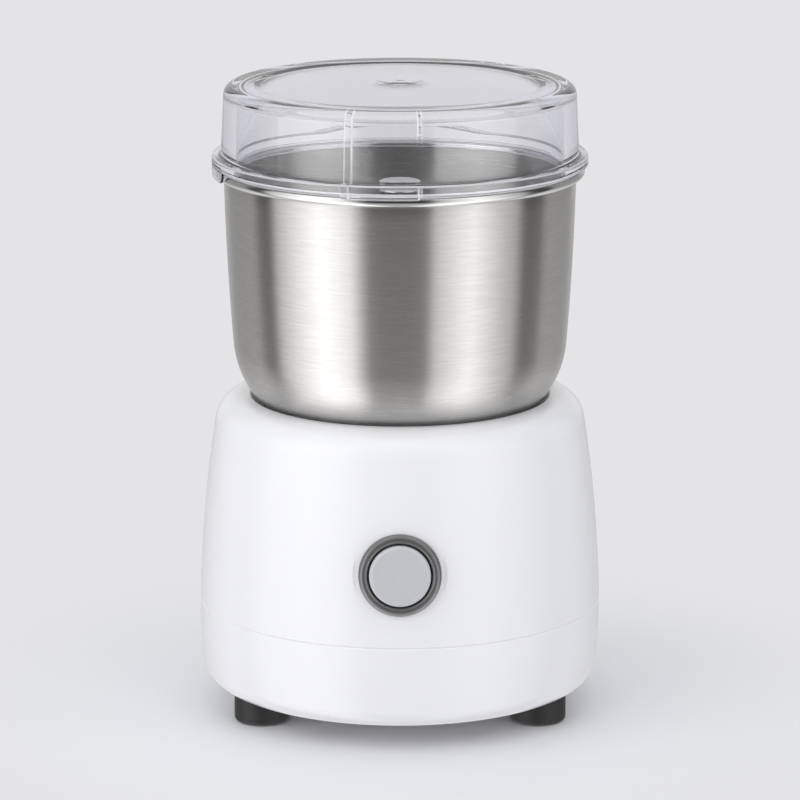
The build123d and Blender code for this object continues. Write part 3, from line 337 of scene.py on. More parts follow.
brushCarbon = plasticMaterial("brushCarbon", (0.030, 0.030, 0.030), 0.48, skin=0.25, shade=0.3, wearAndHighlight=0.6)
boardGreen = plasticMaterial("boardGreen", (0.05, 0.20, 0.09), 0.35, skin=0.05, shade=0.25)
capacitorYellow = plasticMaterial("capacitorYellow", (0.62, 0.46, 0.08), 0.40, skin=0.05, shade=0.12)

# the cap's strongly lightened edges are a painted highlight rim
capLook = {
    "colour": (0.555, 0.56, 0.58), "roughness": 0.26, "shade": 0.01, "wearAndHighlight": 0.6, "dusty": 0.0, "coat": 0.35,
}
capGrey = plasticMaterial("capGrey", **capLook)

# the push button faces the front and a little up, and its bezel is turned about that line
buttonSlope = math.radians(4.277)
bezelMiddle = (0, -0.05395, 0.0496)
bezelLook = {
    "colour": (0.30, 0.30, 0.305), "roughness": 0.46, "lines": 6000.0, "tone": 0.22, "wearAndHighlight": 0.2,
    "bump": 0.25, "centre": bezelMiddle, "tilt": math.radians(90) - buttonSlope,
}
bezelDark = metalMaterial("bezelDark", **bezelLook)

plasticIor = 1.49
lidLook = {"clear": 1.0, "colour": (0.965, 0.965, 0.982), "edge": (0.70, 0.70, 0.83), "roughness": 0.0}
# a paler, less clear plastic on the lid's narrow moulded edges: a painted highlight
highlightLineLook = {"clear": 0.42, "colour": (0.93, 0.93, 0.95), "edge": (0.88, 0.88, 0.93), "roughness": 0.10}


def clearMaterial(name, look):
    # the edge colour comes in where the surface is seen at a slant
    material, tree, shader = startMaterial(name)
    shader.inputs["Transmission Weight"].default_value = look["clear"]
    shader.inputs["IOR"].default_value = plasticIor
    variation = useGroup(tree, mottle, Scale=18.0, Fine=600.0)
    darker = tuple(channel * 0.985 for channel in look["colour"])
    face = mixColour(tree, (variation, "Slow"), darker, look["colour"])
    slant = addNode(tree, "ShaderNodeLayerWeight")
    slant.inputs["Blend"].default_value = 0.5
    thick = rangeNode(tree, (slant, "Facing"), 0.35, 1.0, 0.0, 1.0)
    tint = mixColour(tree, (thick, "Result"), (face, 2), look["edge"])
    join(tree, tint, 2, shader, "Base Color")
    rough = rangeNode(tree, (variation, "Skin"), 0.60, 0.80, look["roughness"], look["roughness"] + 0.04)
    join(tree, rough, "Result", shader, "Roughness")
    bumpNode(tree, shader, (variation, "Slow"), 0.02, 0.0003)
    return material


lidClear = clearMaterial("lidClear", lidLook)
lidHighlightLine = clearMaterial("lidHighlightLine", highlightLineLook)
print("materials ready")

finishOf = {
    "base_shell": casingWhite, "seat_well": casingWhite, "bottom_cover": casingWhite,
    "foot_left": footRubber, "foot_right": footRubber, "foot_rear": footRubber,
    "seat_ring": sealRubber, "hub_gasket": sealRubber, "shaft_seal": sealRubber, "motor_grommets": sealRubber,
    "cord_grommet": sealRubber,
    "bowl": bowlBrushed, "lid": lidClear,
    "blade_spindle": postTurned, "lower_spacer": postTurned, "middle_spacer": postTurned,
    "upper_spacer": postTurned, "post_screw": postTurned, "motor_shaft": postTurned,
    "lower_blade": bladeGround, "upper_blade": bladeGround,
    "thrust_washer": brassTurned, "spindle_bush": brassTurned, "upper_bearing": brassTurned,
    "lower_bearing": brassTurned, "brush_holder_left": brassTurned, "brush_holder_right": brassTurned,
    "switch_terminals": brassTurned,
    "bowl_hub": hubBlack, "hub_nut": hubBlack, "bowl_coupling": hubBlack, "drive_coupling": hubBlack,
    "cooling_fan": hubBlack,
    "cover_screws": screwPlated, "foot_screws": screwPlated, "mount_screws": screwPlated,
    "motor_screws": screwPlated, "stem_clip": screwPlated, "button_spring": screwPlated,
    "brush_spring_left": screwPlated, "brush_spring_right": screwPlated,
    "motor_can": canPlated, "motor_end_bell": canPlated, "motor_bracket": canPlated, "bezel_nut": canPlated,
    "switch_bracket": canPlated,
    "magnet_left": magnetFerrite, "magnet_right": magnetFerrite,
    "armature_core": coreLaminated, "armature_windings": windingCopper, "commutator": windingCopper,
    "carbon_brush_left": brushCarbon, "carbon_brush_right": brushCarbon,
    "button_bezel": bezelDark, "button_cap": capGrey, "switch_plunger": capGrey,
    "switch_body": switchBlack, "bridge_rectifier": switchBlack,
    "rectifier_board": boardGreen, "suppression_capacitor": capacitorYellow,
}
for nodeName, cadNode in cadNodes.items():
    if len(cadNode.material_slots) == 0:
        cadNode.data.materials.append(finishOf[nodeName])
    for slotHere in cadNode.material_slots:
        slotHere.material = finishOf[nodeName]
print("finishes on", len(cadNodes), "nodes")


# turned pieces, drawn as (radius, height) in millimetres

nearAxis = 1e-6  # a radius below this, in millimetres, is a point on the axis
oneSpot = 1e-7  # vertices nearer than this, in metres, become one


def arcPoints(middle, radius, start, stop, step=5.0):
    count = max(2, math.ceil(abs(stop - start) / step))
    turns = [math.radians(start + (stop - start) * index / count) for index in range(count + 1)]
    return [(middle[0] + radius * math.cos(turn), middle[1] + radius * math.sin(turn)) for turn in turns]


def tangentPoints(start, leanDegrees, end, count=20):
    # arc from start, leaving at that angle, to end
    way = Vector((math.cos(math.radians(leanDegrees)), math.sin(math.radians(leanDegrees))))
    span = Vector(end) - Vector(start)
    across = Vector((-way.y, way.x))
    radius = span.length_squared / (2 * span.dot(across))
    middle = Vector(start) + across * radius
    first = math.atan2(start[1] - middle.y, start[0] - middle.x)
    last = math.atan2(end[1] - middle.y, end[0] - middle.x)
    while last - first > math.pi:
        last -= 2 * math.pi
    while last - first < -math.pi:
        last += 2 * math.pi
    turns = [first + (last - first) * index / count for index in range(count + 1)]
    reach = abs(radius)
    return [(middle.x + reach * math.cos(turn), middle.y + reach * math.sin(turn)) for turn in turns]


def roundedProfile(corners, step=9.0):
    # each corner is (radius, height) or (radius, height, rounding)
    # returns the points, and for each point the number of its corner
    points, owners = [], []
    for index, corner in enumerate(corners):
        here = Vector(corner[:2])
        if len(corner) < 3:
            points.append((here.x, here.y))
            owners.append(index)
            continue
        before = (Vector(corners[index - 1][:2]) - here).normalized()
        after = (Vector(corners[(index + 1) % len(corners)][:2]) - here).normalized()
        half = before.angle(after) / 2
        middle = here + (before + after).normalized() * (corner[2] / math.sin(half))
        start = here + before * (corner[2] / math.tan(half)) - middle
        stop = here + after * (corner[2] / math.tan(half)) - middle
        first = math.degrees(math.atan2(start.y, start.x))
        sweep = math.degrees(math.atan2(stop.y, stop.x)) - first
        sweep = (sweep + 180) % 360 - 180
        arc = arcPoints(middle, corner[2], first, first + sweep, step)
        points += arc
        owners += [index] * len(arc)
    return points, owners


def lathe(name, profile, turns, reshape=None, sharp=38.0):
    mesh = bpy.data.meshes.new(name)
    vertices, faces, rings = [], [], []
    for index, (radius, height) in enumerate(profile):
        if radius < nearAxis:
            rings.append([len(vertices)])
            vertices.append((0, 0, height * mm))
            continue
        ring = []
        for turn in turns:
            across, up = reshape(index, radius, height, turn) if reshape else (radius, height)
            ring.append(len(vertices))
            angle = math.radians(turn)
            vertices.append((across * mm * math.cos(angle), across * mm * math.sin(angle), up * mm))
        rings.append(ring)
    for here, there in zip(rings, rings[1:] + rings[:1]):
        if len(here) == 1 and len(there) == 1:
            continue
        for index in range(len(turns)):
            after = (index + 1) % len(turns)
            if len(here) == 1:
                faces.append((here[0], there[after], there[index]))
            elif len(there) == 1:
                faces.append((here[index], here[after], there[0]))
            else:
                faces.append((here[index], here[after], there[after], there[index]))
    mesh.from_pydata(vertices, [], faces)
    work = bmesh.new()
    work.from_mesh(mesh)
    bmesh.ops.remove_doubles(work, verts=work.verts, dist=oneSpot)
    bmesh.ops.recalc_face_normals(work, faces=work.faces)
    work.to_mesh(mesh)
    work.free()
    for face in mesh.polygons:
        face.use_smooth = True
    mesh.set_sharp_from_angle(angle=math.radians(sharp))
    piece = bpy.data.objects.new(name, mesh)
    bpy.context.scene.collection.objects.link(piece)
    return piece


def evenTurns(count):
    return [360 * index / count for index in range(count)]


# bowl

bowlSize = {
    "bottom": 76.3, "flat": 18.4, "corner": 27.0, "cornerTurn": 85.5, "wall": 0.8, "hole": 7.55,
    "mouth": 47.6, "beadMiddle": (48.35, 148.5), "bead": 1.55, "segments": 360,
    "cornerStep": 3, "beadStep": 8,  # degrees between rings
    "beadMeets": 0.75, "beadLap": 10,  # where the wall runs into the bead: a share of its radius, and degrees
    "beadReach": 1.02, "beadInside": 0.05,  # faces this near the bead's middle are polished
}


def makeBowl(size):
    flat, corner, wall = size["flat"], size["corner"], size["wall"]
    middle = (flat, size["bottom"] + corner)
    beadMiddle, bead = size["beadMiddle"], size["bead"]
    cornerEnd = size["cornerTurn"] - 90
    outside = [(size["hole"], size["bottom"])]
    outside += arcPoints(middle, corner, -90, cornerEnd, size["cornerStep"])
    meets = (size["mouth"], beadMiddle[1] - bead * size["beadMeets"])
    side = tangentPoints(outside[-1], size["cornerTurn"], meets)
    outside += side[1:-1]
    foot = math.degrees(math.atan2(side[-1][1] - beadMiddle[1], side[-1][0] - beadMiddle[0]))
    rolled = arcPoints(beadMiddle, bead, foot - size["beadLap"], 180, size["beadStep"])
    inside = tangentPoints(
        (flat + (corner - wall) * math.cos(math.radians(cornerEnd)),
         middle[1] + (corner - wall) * math.sin(math.radians(cornerEnd))),
        size["cornerTurn"], (size["mouth"] - wall, beadMiddle[1]))
    corners = arcPoints(middle, corner - wall, cornerEnd, -90, size["cornerStep"])
    profile = outside + rolled + inside[::-1][1:-1] + corners + [(size["hole"], size["bottom"] + wall)]
    piece = lathe("bowlCup", profile, evenTurns(size["segments"]), sharp=50)
    piece.data.materials.append(bowlBrushed)
    piece.data.materials.append(beadPolished)
    for face in piece.data.polygons:
        radius = math.hypot(face.center.x, face.center.y) / mm
        distance = math.hypot(radius - beadMiddle[0], face.center.z / mm - beadMiddle[1])
        onBead = distance < bead * size["beadReach"] and radius > size["mouth"] - wall + size["beadInside"]
        face.material_index = 1 if onBead else 0
    return piece


bowlCup = makeBowl(bowlSize)
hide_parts("bowl")
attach(bowlCup, "bowl")
print("bowl made")


# lid

lidSize = {
    "underside": 150.35, "flangeTop": 152.95, "flange": 50.8, "flangeRounding": 0.6,
    "footRadius": 48.3, "topRadius": 47.4, "crown": 171.75, "crownRounding": 2.7, "footRounding": 0.7,
    "wall": 3.9, "ceiling": 169.2, "innerRounding": 1.8,
    "panel": 37.6, "panelRun": 1.6, "panelStep": 0.4, "panelRounding": 0.3, "panelDome": 1.42,
    "topThickness": 2.4, "domeSteps": 16,
    "collar": 46.4, "collarDepth": 2.4, "collarRoundings": (0.3, 0.6, 0.2),  # inner, outer and at its root
    "gate": 6.3, "gateHeight": 0.06, "gateRun": 0.3, "gateClear": 0.4, "gateRoundings": (0.05, 0.1),
    "nub": 1.6, "nubHeight": 0.11, "nubRuns": (0.5, 0.2), "nubRoundings": (0.3, 0.25),
    "skirtInner": 50.2, "skirtRings": 16, "skirtRounding": 0.28, "cornerRings": 4,
    "lugs": ((186, 201), (6, 21)), "lugBottom": 147.45, "lugRounding": 2.4,  # spans are degrees round the lid
    "tab": (252, 276.5), "tabBottom": 149.25, "tabRounding": 1.1, "tabRim": 1.0, "tabProud": 0.50,
    "rib": (252.5, 254.9), "ribProud": 0.45, "ribFade": 1.6, "ribFrom": 0.05,
    "ribFoot": (252.2, 254.6), "ribFootHeight": 0.3, "footEdge": 0.4, "ridgeFade": 0.6,
    "nib": (275.5, 276.7), "nibLow": 165.55, "nibSoft": 0.15, "edge": 0.35,
    "lineHalf": 0.24, "lineSlack": 0.1, "rimLine": (0.75, 0.50), "tabEndFrom": 264,
    "segments": 360, "fineCount": 24, "fineTurn": 0.12, "closestTurn": 0.05,
    "hair": 0.01,  # keeps neighbouring rings apart
}


def arcInside(turn, span, radius=lidSize["flange"]):
    # how far inside the span's nearer end, in millimetres round the lid
    middle = (span[0] + span[1]) / 2
    away = abs((turn - middle + 180) % 360 - 180)
    return math.radians((span[1] - span[0]) / 2 - away) * radius


def stepUp(value, edge):
    share = min(1.0, max(0.0, value / edge + 0.5))
    return share * share * (3 - 2 * share)


def skirtBottom(size, turn):
    # lower edge of the flange, with its two lugs and its tab, all round-cornered
    lowest = size["underside"] - 2 * size["hair"]
    drops = [(span, size["lugBottom"], size["lugRounding"]) for span in size["lugs"]]
    drops.append((size["tab"], size["tabBottom"], size["tabRounding"]))
    for span, bottom, rounding in drops:
        inside = arcInside(turn, span)
        if inside <= 0:
            continue
        short = max(0.0, rounding - inside)
        lowest = min(lowest, bottom + rounding - math.sqrt(rounding ** 2 - short ** 2))
    return lowest


def tabRidge(size, turn, height):
    # raised rim along the tab's right end and lower edge, and the rib's foot at its left end
    rounding, rim = size["tabRounding"], size["tabRim"]
    inside = arcInside(turn, size["tab"])
    if inside <= 0 or height < size["tabBottom"]:
        return 0.0
    up = height - size["tabBottom"]
    if inside < rounding and up < rounding:
        depth = rounding - math.hypot(rounding - inside, rounding - up)
    else:
        depth = min(inside, up)
    share = min(1.0, max(0.0, depth / rim))
    ridge = 1 - abs(2 * share - 1) ** 3
    foot = stepUp(arcInside(turn, size["ribFoot"]), size["footEdge"])
    return size["tabProud"] * max(ridge, foot)


def lidTurns(size):
    # evenly round, and closer together at each moulded edge
    turns = set(evenTurns(size["segments"]))
    for span in (*size["lugs"], size["tab"], size["rib"], size["nib"], size["ribFoot"]):
        for end in span:
            for index in range(-size["fineCount"], size["fineCount"] + 1):
                turns.add(round((end + index * size["fineTurn"]) % 360, 4))
    turns = sorted(turns)
    pairs = zip(turns, turns[1:])
    return turns[:1] + [turn for before, turn in pairs if turn - before > size["closestTurn"]]


def lidProfile(size):
    # (radius, height, what the point belongs to, share along it, or on the wall its height)
    rimHeight = size["crown"] - size["panelStep"]
    domeMiddle = rimHeight + size["panelDome"]
    underDome = domeMiddle - size["topThickness"]
    domeRadius = (size["panel"] ** 2 + size["panelDome"] ** 2) / (2 * size["panelDome"])
    spread = math.degrees(math.asin(size["panel"] / domeRadius))
    gateTop = domeMiddle + size["gateHeight"]
    domeStep = spread / size["domeSteps"]
    collarBottom = size["underside"] - size["collarDepth"]
    innerEdge, outerEdge, rootEdge = size["collarRoundings"]
    inner, _ = roundedProfile([
        (0, underDome),
        *arcPoints((0, underDome - domeRadius), domeRadius, 90, 90 - spread, domeStep)[1:],
        (size["panel"], size["ceiling"] - size["hair"]),
        (size["topRadius"] - size["wall"], size["ceiling"], size["innerRounding"]),
        (size["footRadius"] - size["wall"], collarBottom, innerEdge),
        (size["collar"], collarBottom, outerEdge),
        (size["collar"], size["underside"], rootEdge),
        (size["skirtInner"], size["underside"]),
    ])
    points = [(*point, "fixed", 0) for point in inner]
    points.append((size["skirtInner"], size["underside"], "skirtInner", 0))
    for index in range(size["cornerRings"] + 1):
        points.append((size["flange"], size["underside"], "skirtCorner", index / size["cornerRings"]))
    for index in range(1, size["skirtRings"]):
        points.append((size["flange"], size["underside"], "skirtSide", index / size["skirtRings"]))
    rounding = size["flangeRounding"]
    shoulder = (size["flange"] - rounding, size["flangeTop"] - rounding)
    points += [(*point, "flangeEdge", 0) for point in arcPoints(shoulder, rounding, 0, 90, 15)]
    wall, owners = roundedProfile([
        (size["flange"] - rounding, size["flangeTop"]),
        (size["footRadius"], size["flangeTop"], size["footRounding"]),
        (size["topRadius"], size["crown"], size["crownRounding"]),
        (size["panel"] + size["panelRun"], size["crown"], size["panelRounding"]),
        (size["panel"], rimHeight, size["panelRounding"]),
        (size["panel"] - 1, rimHeight),  # only leads the rounding before it
    ])
    crown = [index for index, owner in enumerate(owners) if owner == 2]
    for index, point in enumerate(wall[1:-1], 1):
        if index in crown:
            if index == crown[0]:
                foot = points[-1]
                for height in (size["nibLow"] - size["nibSoft"], size["nibLow"] + size["nibSoft"]):
                    share = (height - foot[1]) / (point[1] - foot[1])
                    points.append((foot[0] + (point[0] - foot[0]) * share, height, "wall", height))
            points.append((*point, "crown", (index - crown[0]) / (len(crown) - 1)))
        else:
            points.append((*point, "foot" if owners[index] == 1 else "fixed", 0))
    top = arcPoints((0, domeMiddle - domeRadius), domeRadius, 90 - spread, 90, domeStep)
    gateEdge, panelEdge = size["gate"] + size["gateClear"], size["panel"] - size["panelRounding"]
    points += [(*point, "fixed", 0) for point in top if gateEdge < point[0] < panelEdge]
    nubTop = domeMiddle + size["nubHeight"]
    gate, _ = roundedProfile([
        (size["gate"] + size["gateRun"], domeMiddle - size["hair"]),
        (size["gate"], domeMiddle, size["gateRoundings"][0]),
        (size["gate"] - size["gateRun"], gateTop, size["gateRoundings"][1]),
        (size["nub"] + size["nubRuns"][0], gateTop, size["nubRoundings"][0]),
        (size["nub"] - size["nubRuns"][1], nubTop, size["nubRoundings"][1]),
        (0, nubTop + 2 * size["hair"]),
    ])
    return points + [(*point, "fixed", 0) for point in gate]


def onLine(size, turn, radius, height):
    # the narrow moulded edges, drawn in a paler, less clear plastic as a painted highlight: the sides of the
    # rib, its foot and the nib, the flange's top rim and the rim of the tab
    half = size["lineHalf"]
    rimIn, rimDown = size["rimLine"]
    if radius < size["topRadius"] - size["crownRounding"]:
        return False
    if height > size["flangeTop"]:
        onRib = abs(arcInside(turn, size["rib"])) < half
        return onRib or (height > size["nibLow"] and abs(arcInside(turn, size["nib"])) < half)
    if radius > size["flange"] - rimIn and height > size["flangeTop"] - rimDown:
        return True
    inside = arcInside(turn, size["tab"])
    if radius < size["flange"] - size["lineSlack"] or inside < -size["lineSlack"]:
        return False
    up = height - size["tabBottom"]
    onFoot = abs(arcInside(turn, size["ribFoot"])) < half
    onEnd = turn > size["tabEndFrom"] and min(abs(inside), abs(inside - size["tabRim"])) < half
    onLower = min(abs(up), abs(up - size["tabRim"])) < half
    return onFoot or onEnd or onLower


def makeLid(size):
    points = lidProfile(size)

    def reshape(index, radius, height, turn):
        owner, share = points[index][2:]
        bottom = skirtBottom(size, turn)
        side = size["flangeTop"] - size["flangeRounding"]
        rounding = min(size["skirtRounding"], (side - bottom) / 4)
        if owner == "skirtInner":
            height = bottom
        if owner == "skirtCorner":
            lean = math.radians(90 * share)
            height = bottom + rounding * (1 - math.cos(lean))
            radius += tabRidge(size, turn, height) - rounding * (1 - math.sin(lean))
        if owner == "skirtSide":
            height = bottom + rounding + (side - bottom - rounding) * share
            radius += tabRidge(size, turn, height)
        if owner == "flangeEdge":
            fade = (height - side) / size["flangeRounding"] * size["ridgeFade"]
            radius += tabRidge(size, turn, side) * (1 - fade)
            if height > side + size["flangeRounding"] / 2:
                height += size["ribFootHeight"] * stepUp(arcInside(turn, size["ribFoot"]), size["footEdge"])
        rib = stepUp(arcInside(turn, size["rib"]), size["edge"])
        nib = stepUp(arcInside(turn, size["nib"]), size["edge"])
        if owner == "foot":
            radius += size["ribProud"] * rib * (height > size["flangeTop"] + size["ribFrom"])
        if owner == "wall":
            radius += size["ribProud"] * max(rib, nib if share > size["nibLow"] else 0)
        if owner == "crown":
            radius += size["ribProud"] * max(rib, nib) * max(0.0, 1 - size["ribFade"] * share)
        return radius, height

    piece = lathe("lidCover", [point[:2] for point in points], lidTurns(size), reshape, sharp=32)
    piece.data.materials.append(lidClear)
    piece.data.materials.append(lidHighlightLine)
    for face in piece.data.polygons:
        turn = math.degrees(math.atan2(face.center.y, face.center.x)) % 360
        height = face.center.z / mm
        radius = math.hypot(face.center.x, face.center.y) / mm
        face.material_index = 1 if onLine(size, turn, radius, height) else 0
    return piece


lidCover = makeLid(lidSize)
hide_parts("lid")
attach(lidCover, "lid")
print("lid made")


# spring behind the push button, along the button's own axis

springSize = {
    "radius": 5.4, "wire": 0.35, "turns": 5, "closed": 0.7, "closedPitch": 2.1,  # pitch in wire radii
    "low": -8.50, "high": -1.83, "travel": 2.0, "steps": 48, "round": 12,
}


def springHeight(size, turn):
    # the end coils lie close together, the others are evenly open
    length = size["high"] - size["low"] - 2 * size["wire"]
    pitch = size["closedPitch"] * size["wire"]
    rise = pitch * size["closed"]
    if turn < size["closed"]:
        return pitch * turn
    if turn > size["turns"] - size["closed"]:
        return length - pitch * (size["turns"] - turn)
    return rise + (length - 2 * rise) * (turn - size["closed"]) / (size["turns"] - 2 * size["closed"])


def makeSpring(size):
    across = Vector((1, 0, 0))
    upward = outward.cross(across)
    bottom = Vector(bezelMiddle) / mm + outward * (size["low"] + size["wire"])
    count = size["turns"] * size["steps"]
    path = []
    for index in range(count + 1):
        turn = index / size["steps"]
        angle = 2 * math.pi * turn
        arm = across * math.cos(angle) + upward * math.sin(angle)
        path.append((bottom + arm * size["radius"] + outward * springHeight(size, turn), arm))
    coil = bmesh.new()
    rings = []
    for index, (middle, arm) in enumerate(path):
        before, after = path[max(0, index - 1)][0], path[min(count, index + 1)][0]
        raised = arm.cross(after - before).normalized()
        rings.append([])
        for corner in range(size["round"]):
            angle = 2 * math.pi * corner / size["round"]
            spot = middle + (arm * math.cos(angle) + raised * math.sin(angle)) * size["wire"]
            rings[-1].append(coil.verts.new(spot * mm))
    for here, there in zip(rings, rings[1:]):
        for corner in range(size["round"]):
            after = (corner + 1) % size["round"]
            coil.faces.new((here[corner], here[after], there[after], there[corner]))
    for ring in (rings[0], rings[-1]):
        coil.faces.new(ring)
    bmesh.ops.recalc_face_normals(coil, faces=coil.faces)
    mesh = bpy.data.meshes.new("pressSpring")
    coil.to_mesh(mesh)
    coil.free()
    for face in mesh.polygons:
        face.use_smooth = len(face.vertices) == 4
    mesh.materials.append(screwPlated)
    piece = bpy.data.objects.new("pressSpring", mesh)
    bpy.context.scene.collection.objects.link(piece)
    return piece


outward = Vector((0, -math.cos(buttonSlope), math.sin(buttonSlope)))
pressSpring = makeSpring(springSize)
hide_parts("button_spring")
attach(pressSpring, "button")
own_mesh(pressSpring)
print("spring made")


# floor, lamps and camera

backdrop = (0.775, 0.775, 0.791)

# the floor turns into the backdrop between near and far
stageLook = {
    "reach": 6.0, "cells": 8, "near": 0.055, "far": 0.16,
    "floor": (0.83, 0.83, 0.845), "faint": 0.995, "roughness": 0.55, "specular": 0.2,
}


def makeFloor(look):
    sheet = bmesh.new()
    reach, cells = look["reach"], look["cells"]
    steps = [reach * (2 * index / cells - 1) for index in range(cells + 1)]
    rows = [[sheet.verts.new((x, y, 0)) for x in steps] for y in steps]
    for near, far in zip(rows, rows[1:]):
        for index in range(cells):
            sheet.faces.new((near[index], near[index + 1], far[index + 1], far[index]))
    mesh = bpy.data.meshes.new("floor")
    sheet.to_mesh(mesh)
    sheet.free()
    floor = bpy.data.objects.new("floor", mesh)
    bpy.context.scene.collection.objects.link(floor)
    material, tree, shader = startMaterial("floorPale")
    shader.inputs["Roughness"].default_value = look["roughness"]
    shader.inputs["Specular IOR Level"].default_value = look["specular"]
    speck = useGroup(tree, mottle, Scale=3.0, Fine=300.0)
    faint = tuple(channel * look["faint"] for channel in look["floor"])
    shade = mixColour(tree, (speck, "Slow"), faint, look["floor"])
    join(tree, shade, 2, shader, "Base Color")
    glow = addNode(tree, "ShaderNodeEmission")
    glow.inputs["Color"].default_value = (*backdrop, 1)
    place = addNode(tree, "ShaderNodeTexCoord")
    away = addNode(tree, "ShaderNodeVectorMath", operation="LENGTH")
    join(tree, place, "Object", away, 0)
    share = rangeNode(tree, (away, "Value"), look["near"], look["far"], 0.0, 1.0)
    share.interpolation_type = "SMOOTHSTEP"
    ray = addNode(tree, "ShaderNodeLightPath")
    seen = mathNode(tree, "ADD", (ray, "Is Camera Ray"), (ray, "Is Glossy Ray"))
    seen = mathNode(tree, "ADD", (seen, "Value"), (ray, "Is Transmission Ray"), clamp=True)
    factor = mathNode(tree, "MULTIPLY", (seen, "Value"), (share, "Result"))
    mixed = addNode(tree, "ShaderNodeMixShader")
    join(tree, factor, "Value", mixed, 0)
    join(tree, shader, "BSDF", mixed, 1)
    join(tree, glow, "Emission", mixed, 2)
    join(tree, mixed, "Shader", tree.nodes["Material Output"], "Surface")
    floor.data.materials.append(material)
    floor.visible_glossy = False


makeFloor(stageLook)

# turns are degrees from the front
# the other pairs are how far a ray's direction points up, or along Y for ahead
worldLook = {
    "tint": (0.97, 0.985, 1.0), "top": 0.95, "level": 0.34, "roomRise": (-0.05, 0.9),
    "overhead": (0.55, 0.85),
    "back": 0.29, "backTurn": (105.0, 112.0),
    "far": 0.42, "farTurn": (146.0, 160.0), "farLow": 0.30, "farRise": (-0.16, 0.02),
    "dark": 0.060, "low": 0.54, "darkFall": (-0.22, -0.60),
    "ahead": (-0.15, 0.30), "above": (0.22, 0.48), "aboveShare": 0.48,
}

# upright panels that show in what is shiny, by azimuth from the front, right positive
panels = {
    "leftPanel": {"from": -95, "fromSoft": 8, "to": -21, "toSoft": 12, "low": 0.76, "high": 1.60, "peak": -54,
                  "spread": 30},
    "rightPanel": {"from": 18, "fromSoft": 6, "to": 90, "toSoft": 9, "low": 0.56, "high": 1.30, "peak": 50,
                   "spread": 26},
}


def panelNode(tree, azimuth, look):
    # brightness of one panel over the azimuth, brightest at its peak
    rise = rangeNode(tree, azimuth, look["from"], look["from"] + look["fromSoft"], 0.0, 1.0)
    fall = rangeNode(tree, azimuth, look["to"] - look["toSoft"], look["to"], 1.0, 0.0)
    inside = mathNode(tree, "MULTIPLY", (rise, "Result"), (fall, "Result"))
    away = mathNode(tree, "SUBTRACT", azimuth, look["peak"])
    away = mathNode(tree, "ABSOLUTE", (away, "Value"))
    level = rangeNode(tree, (away, "Value"), 0.0, look["spread"], look["high"], look["low"])
    return mathNode(tree, "MULTIPLY", (inside, "Value"), (level, "Result"))


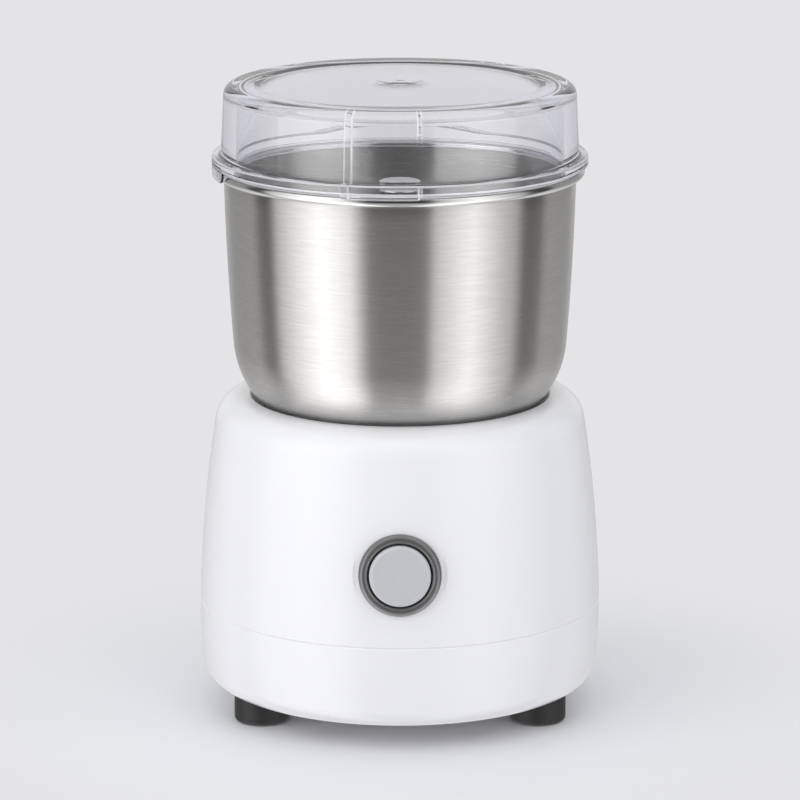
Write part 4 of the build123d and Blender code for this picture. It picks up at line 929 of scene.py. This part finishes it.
def makeWorld(look):
    world = bpy.data.worlds.new("studio")
    bpy.context.scene.world = world
    world.use_nodes = True
    tree = world.node_tree
    place = addNode(tree, "ShaderNodeTexCoord")
    parts = addNode(tree, "ShaderNodeSeparateXYZ")
    join(tree, place, "Generated", parts, "Vector")
    height = rangeNode(tree, (parts, "Z"), *look["roomRise"], look["level"], look["top"])
    room = tree.nodes["Background"]
    room.inputs["Color"].default_value = (*look["tint"], 1)
    join(tree, height, "Result", room, "Strength")

    toward = mathNode(tree, "MULTIPLY", (parts, "Y"), -1.0)
    azimuth = mathNode(tree, "ARCTAN2", (parts, "X"), (toward, "Value"))
    azimuth = mathNode(tree, "MULTIPLY", (azimuth, "Value"), 180 / math.pi)
    lit = [panelNode(tree, (azimuth, "Value"), panel) for panel in panels.values()]
    behind = mathNode(tree, "ABSOLUTE", (azimuth, "Value"))
    back = rangeNode(tree, (behind, "Value"), *look["backTurn"], 0.0, look["back"])
    far = rangeNode(tree, (behind, "Value"), *look["farTurn"], 0.0, look["far"])
    farShare = rangeNode(tree, (parts, "Z"), *look["farRise"], look["farLow"], 1.0)
    far = mathNode(tree, "MULTIPLY", (far, "Result"), (farShare, "Result"))
    total = mathNode(tree, "ADD", (lit[0], "Value"), (lit[1], "Value"))
    total = mathNode(tree, "ADD", (total, "Value"), (back, "Result"))
    total = mathNode(tree, "ADD", (total, "Value"), (far, "Value"))
    dark = rangeNode(tree, (parts, "Z"), *look["darkFall"], look["dark"], look["low"])
    total = mathNode(tree, "ADD", (total, "Value"), (dark, "Result"))
    overhead = rangeNode(tree, (parts, "Z"), *look["overhead"], 0.0, 1.0)
    shown = addNode(tree, "ShaderNodeMix", data_type="FLOAT")
    join(tree, overhead, "Result", shown, 0)
    join(tree, total, "Value", shown, 2)
    shown.inputs[3].default_value = look["top"]
    gloss = addNode(tree, "ShaderNodeBackground")
    gloss.inputs["Color"].default_value = (1, 1, 1, 1)
    join(tree, shown, 0, gloss, "Strength")

    plain = addNode(tree, "ShaderNodeBackground")
    plain.inputs["Color"].default_value = (*backdrop, 1)
    ray = addNode(tree, "ShaderNodeLightPath")
    shiny = addNode(tree, "ShaderNodeMixShader")
    bent = mathNode(tree, "ADD", (ray, "Is Glossy Ray"), (ray, "Is Transmission Ray"), clamp=True)
    join(tree, bent, "Value", shiny, 0)
    join(tree, room, "Background", shiny, 1)
    join(tree, gloss, "Background", shiny, 2)
    ahead = rangeNode(tree, (parts, "Y"), *look["ahead"], 0.0, 1.0)
    above = rangeNode(tree, (parts, "Z"), *look["above"], 0.0, look["aboveShare"])
    bright = mathNode(tree, "MAXIMUM", (ahead, "Result"), (above, "Result"))
    through = mathNode(tree, "MULTIPLY", (ray, "Is Transmission Ray"), (bright, "Value"))
    seen = mathNode(tree, "ADD", (ray, "Is Camera Ray"), (through, "Value"), clamp=True)
    mixed = addNode(tree, "ShaderNodeMixShader")
    join(tree, seen, "Value", mixed, 0)
    join(tree, shiny, "Shader", mixed, 1)
    join(tree, plain, "Background", mixed, 2)
    join(tree, mixed, "Shader", tree.nodes["World Output"], "Surface")


makeWorld(worldLook)

# azimuth is counted from the front, negative to the left; sizes and distances are in metres, and glow is the
# lamp's radiance
lampAim = (0, 0, 0.10)
lamps = {
    "leftBox": {"azimuth": -58, "distance": 0.95, "height": 0.34, "wide": 1.20, "tall": 1.10, "glow": 1.35},
    "rightBox": {"azimuth": 53, "distance": 0.95, "height": 0.34, "wide": 1.16, "tall": 1.10, "glow": 0.80},
}


def makeLamp(name, look):
    light = bpy.data.lights.new(name, "AREA")
    light.shape = "RECTANGLE"
    light.size = look["wide"]
    light.size_y = look["tall"]
    light.energy = look["glow"] * math.pi * look["wide"] * look["tall"]
    lamp = bpy.data.objects.new(name, light)
    turn = math.radians(look["azimuth"])
    lamp.location = (look["distance"] * math.sin(turn), -look["distance"] * math.cos(turn), look["height"])
    aim = Vector(lampAim) - lamp.location
    lamp.rotation_euler = aim.to_track_quat("-Z", "Y").to_euler()
    lamp.visible_camera = False
    lamp.visible_glossy = False
    bpy.context.scene.collection.objects.link(lamp)


for lampName, lampLook in lamps.items():
    makeLamp(lampName, lampLook)

cameraLook = {
    "target": (0, 0, 0.0843), "distance": 1.2, "pitch": 13.3, "lens": 197.5, "sensor": 36, "nearest": 0.01,
}


def makeCamera(look):
    data = bpy.data.cameras.new("camera")
    data.lens = look["lens"]
    data.sensor_width = look["sensor"]
    data.clip_start = look["nearest"]
    camera = bpy.data.objects.new("camera", data)
    pitch = math.radians(look["pitch"])
    offset = Vector((0, -math.cos(pitch), math.sin(pitch))) * look["distance"]
    camera.location = Vector(look["target"]) + offset
    camera.rotation_euler = (-offset).to_track_quat("-Z", "Y").to_euler()
    bpy.context.scene.collection.objects.link(camera)
    bpy.context.scene.camera = camera


makeCamera(cameraLook)
bpy.context.scene.view_settings.view_transform = "Standard"
print("floor, lamps and camera ready")
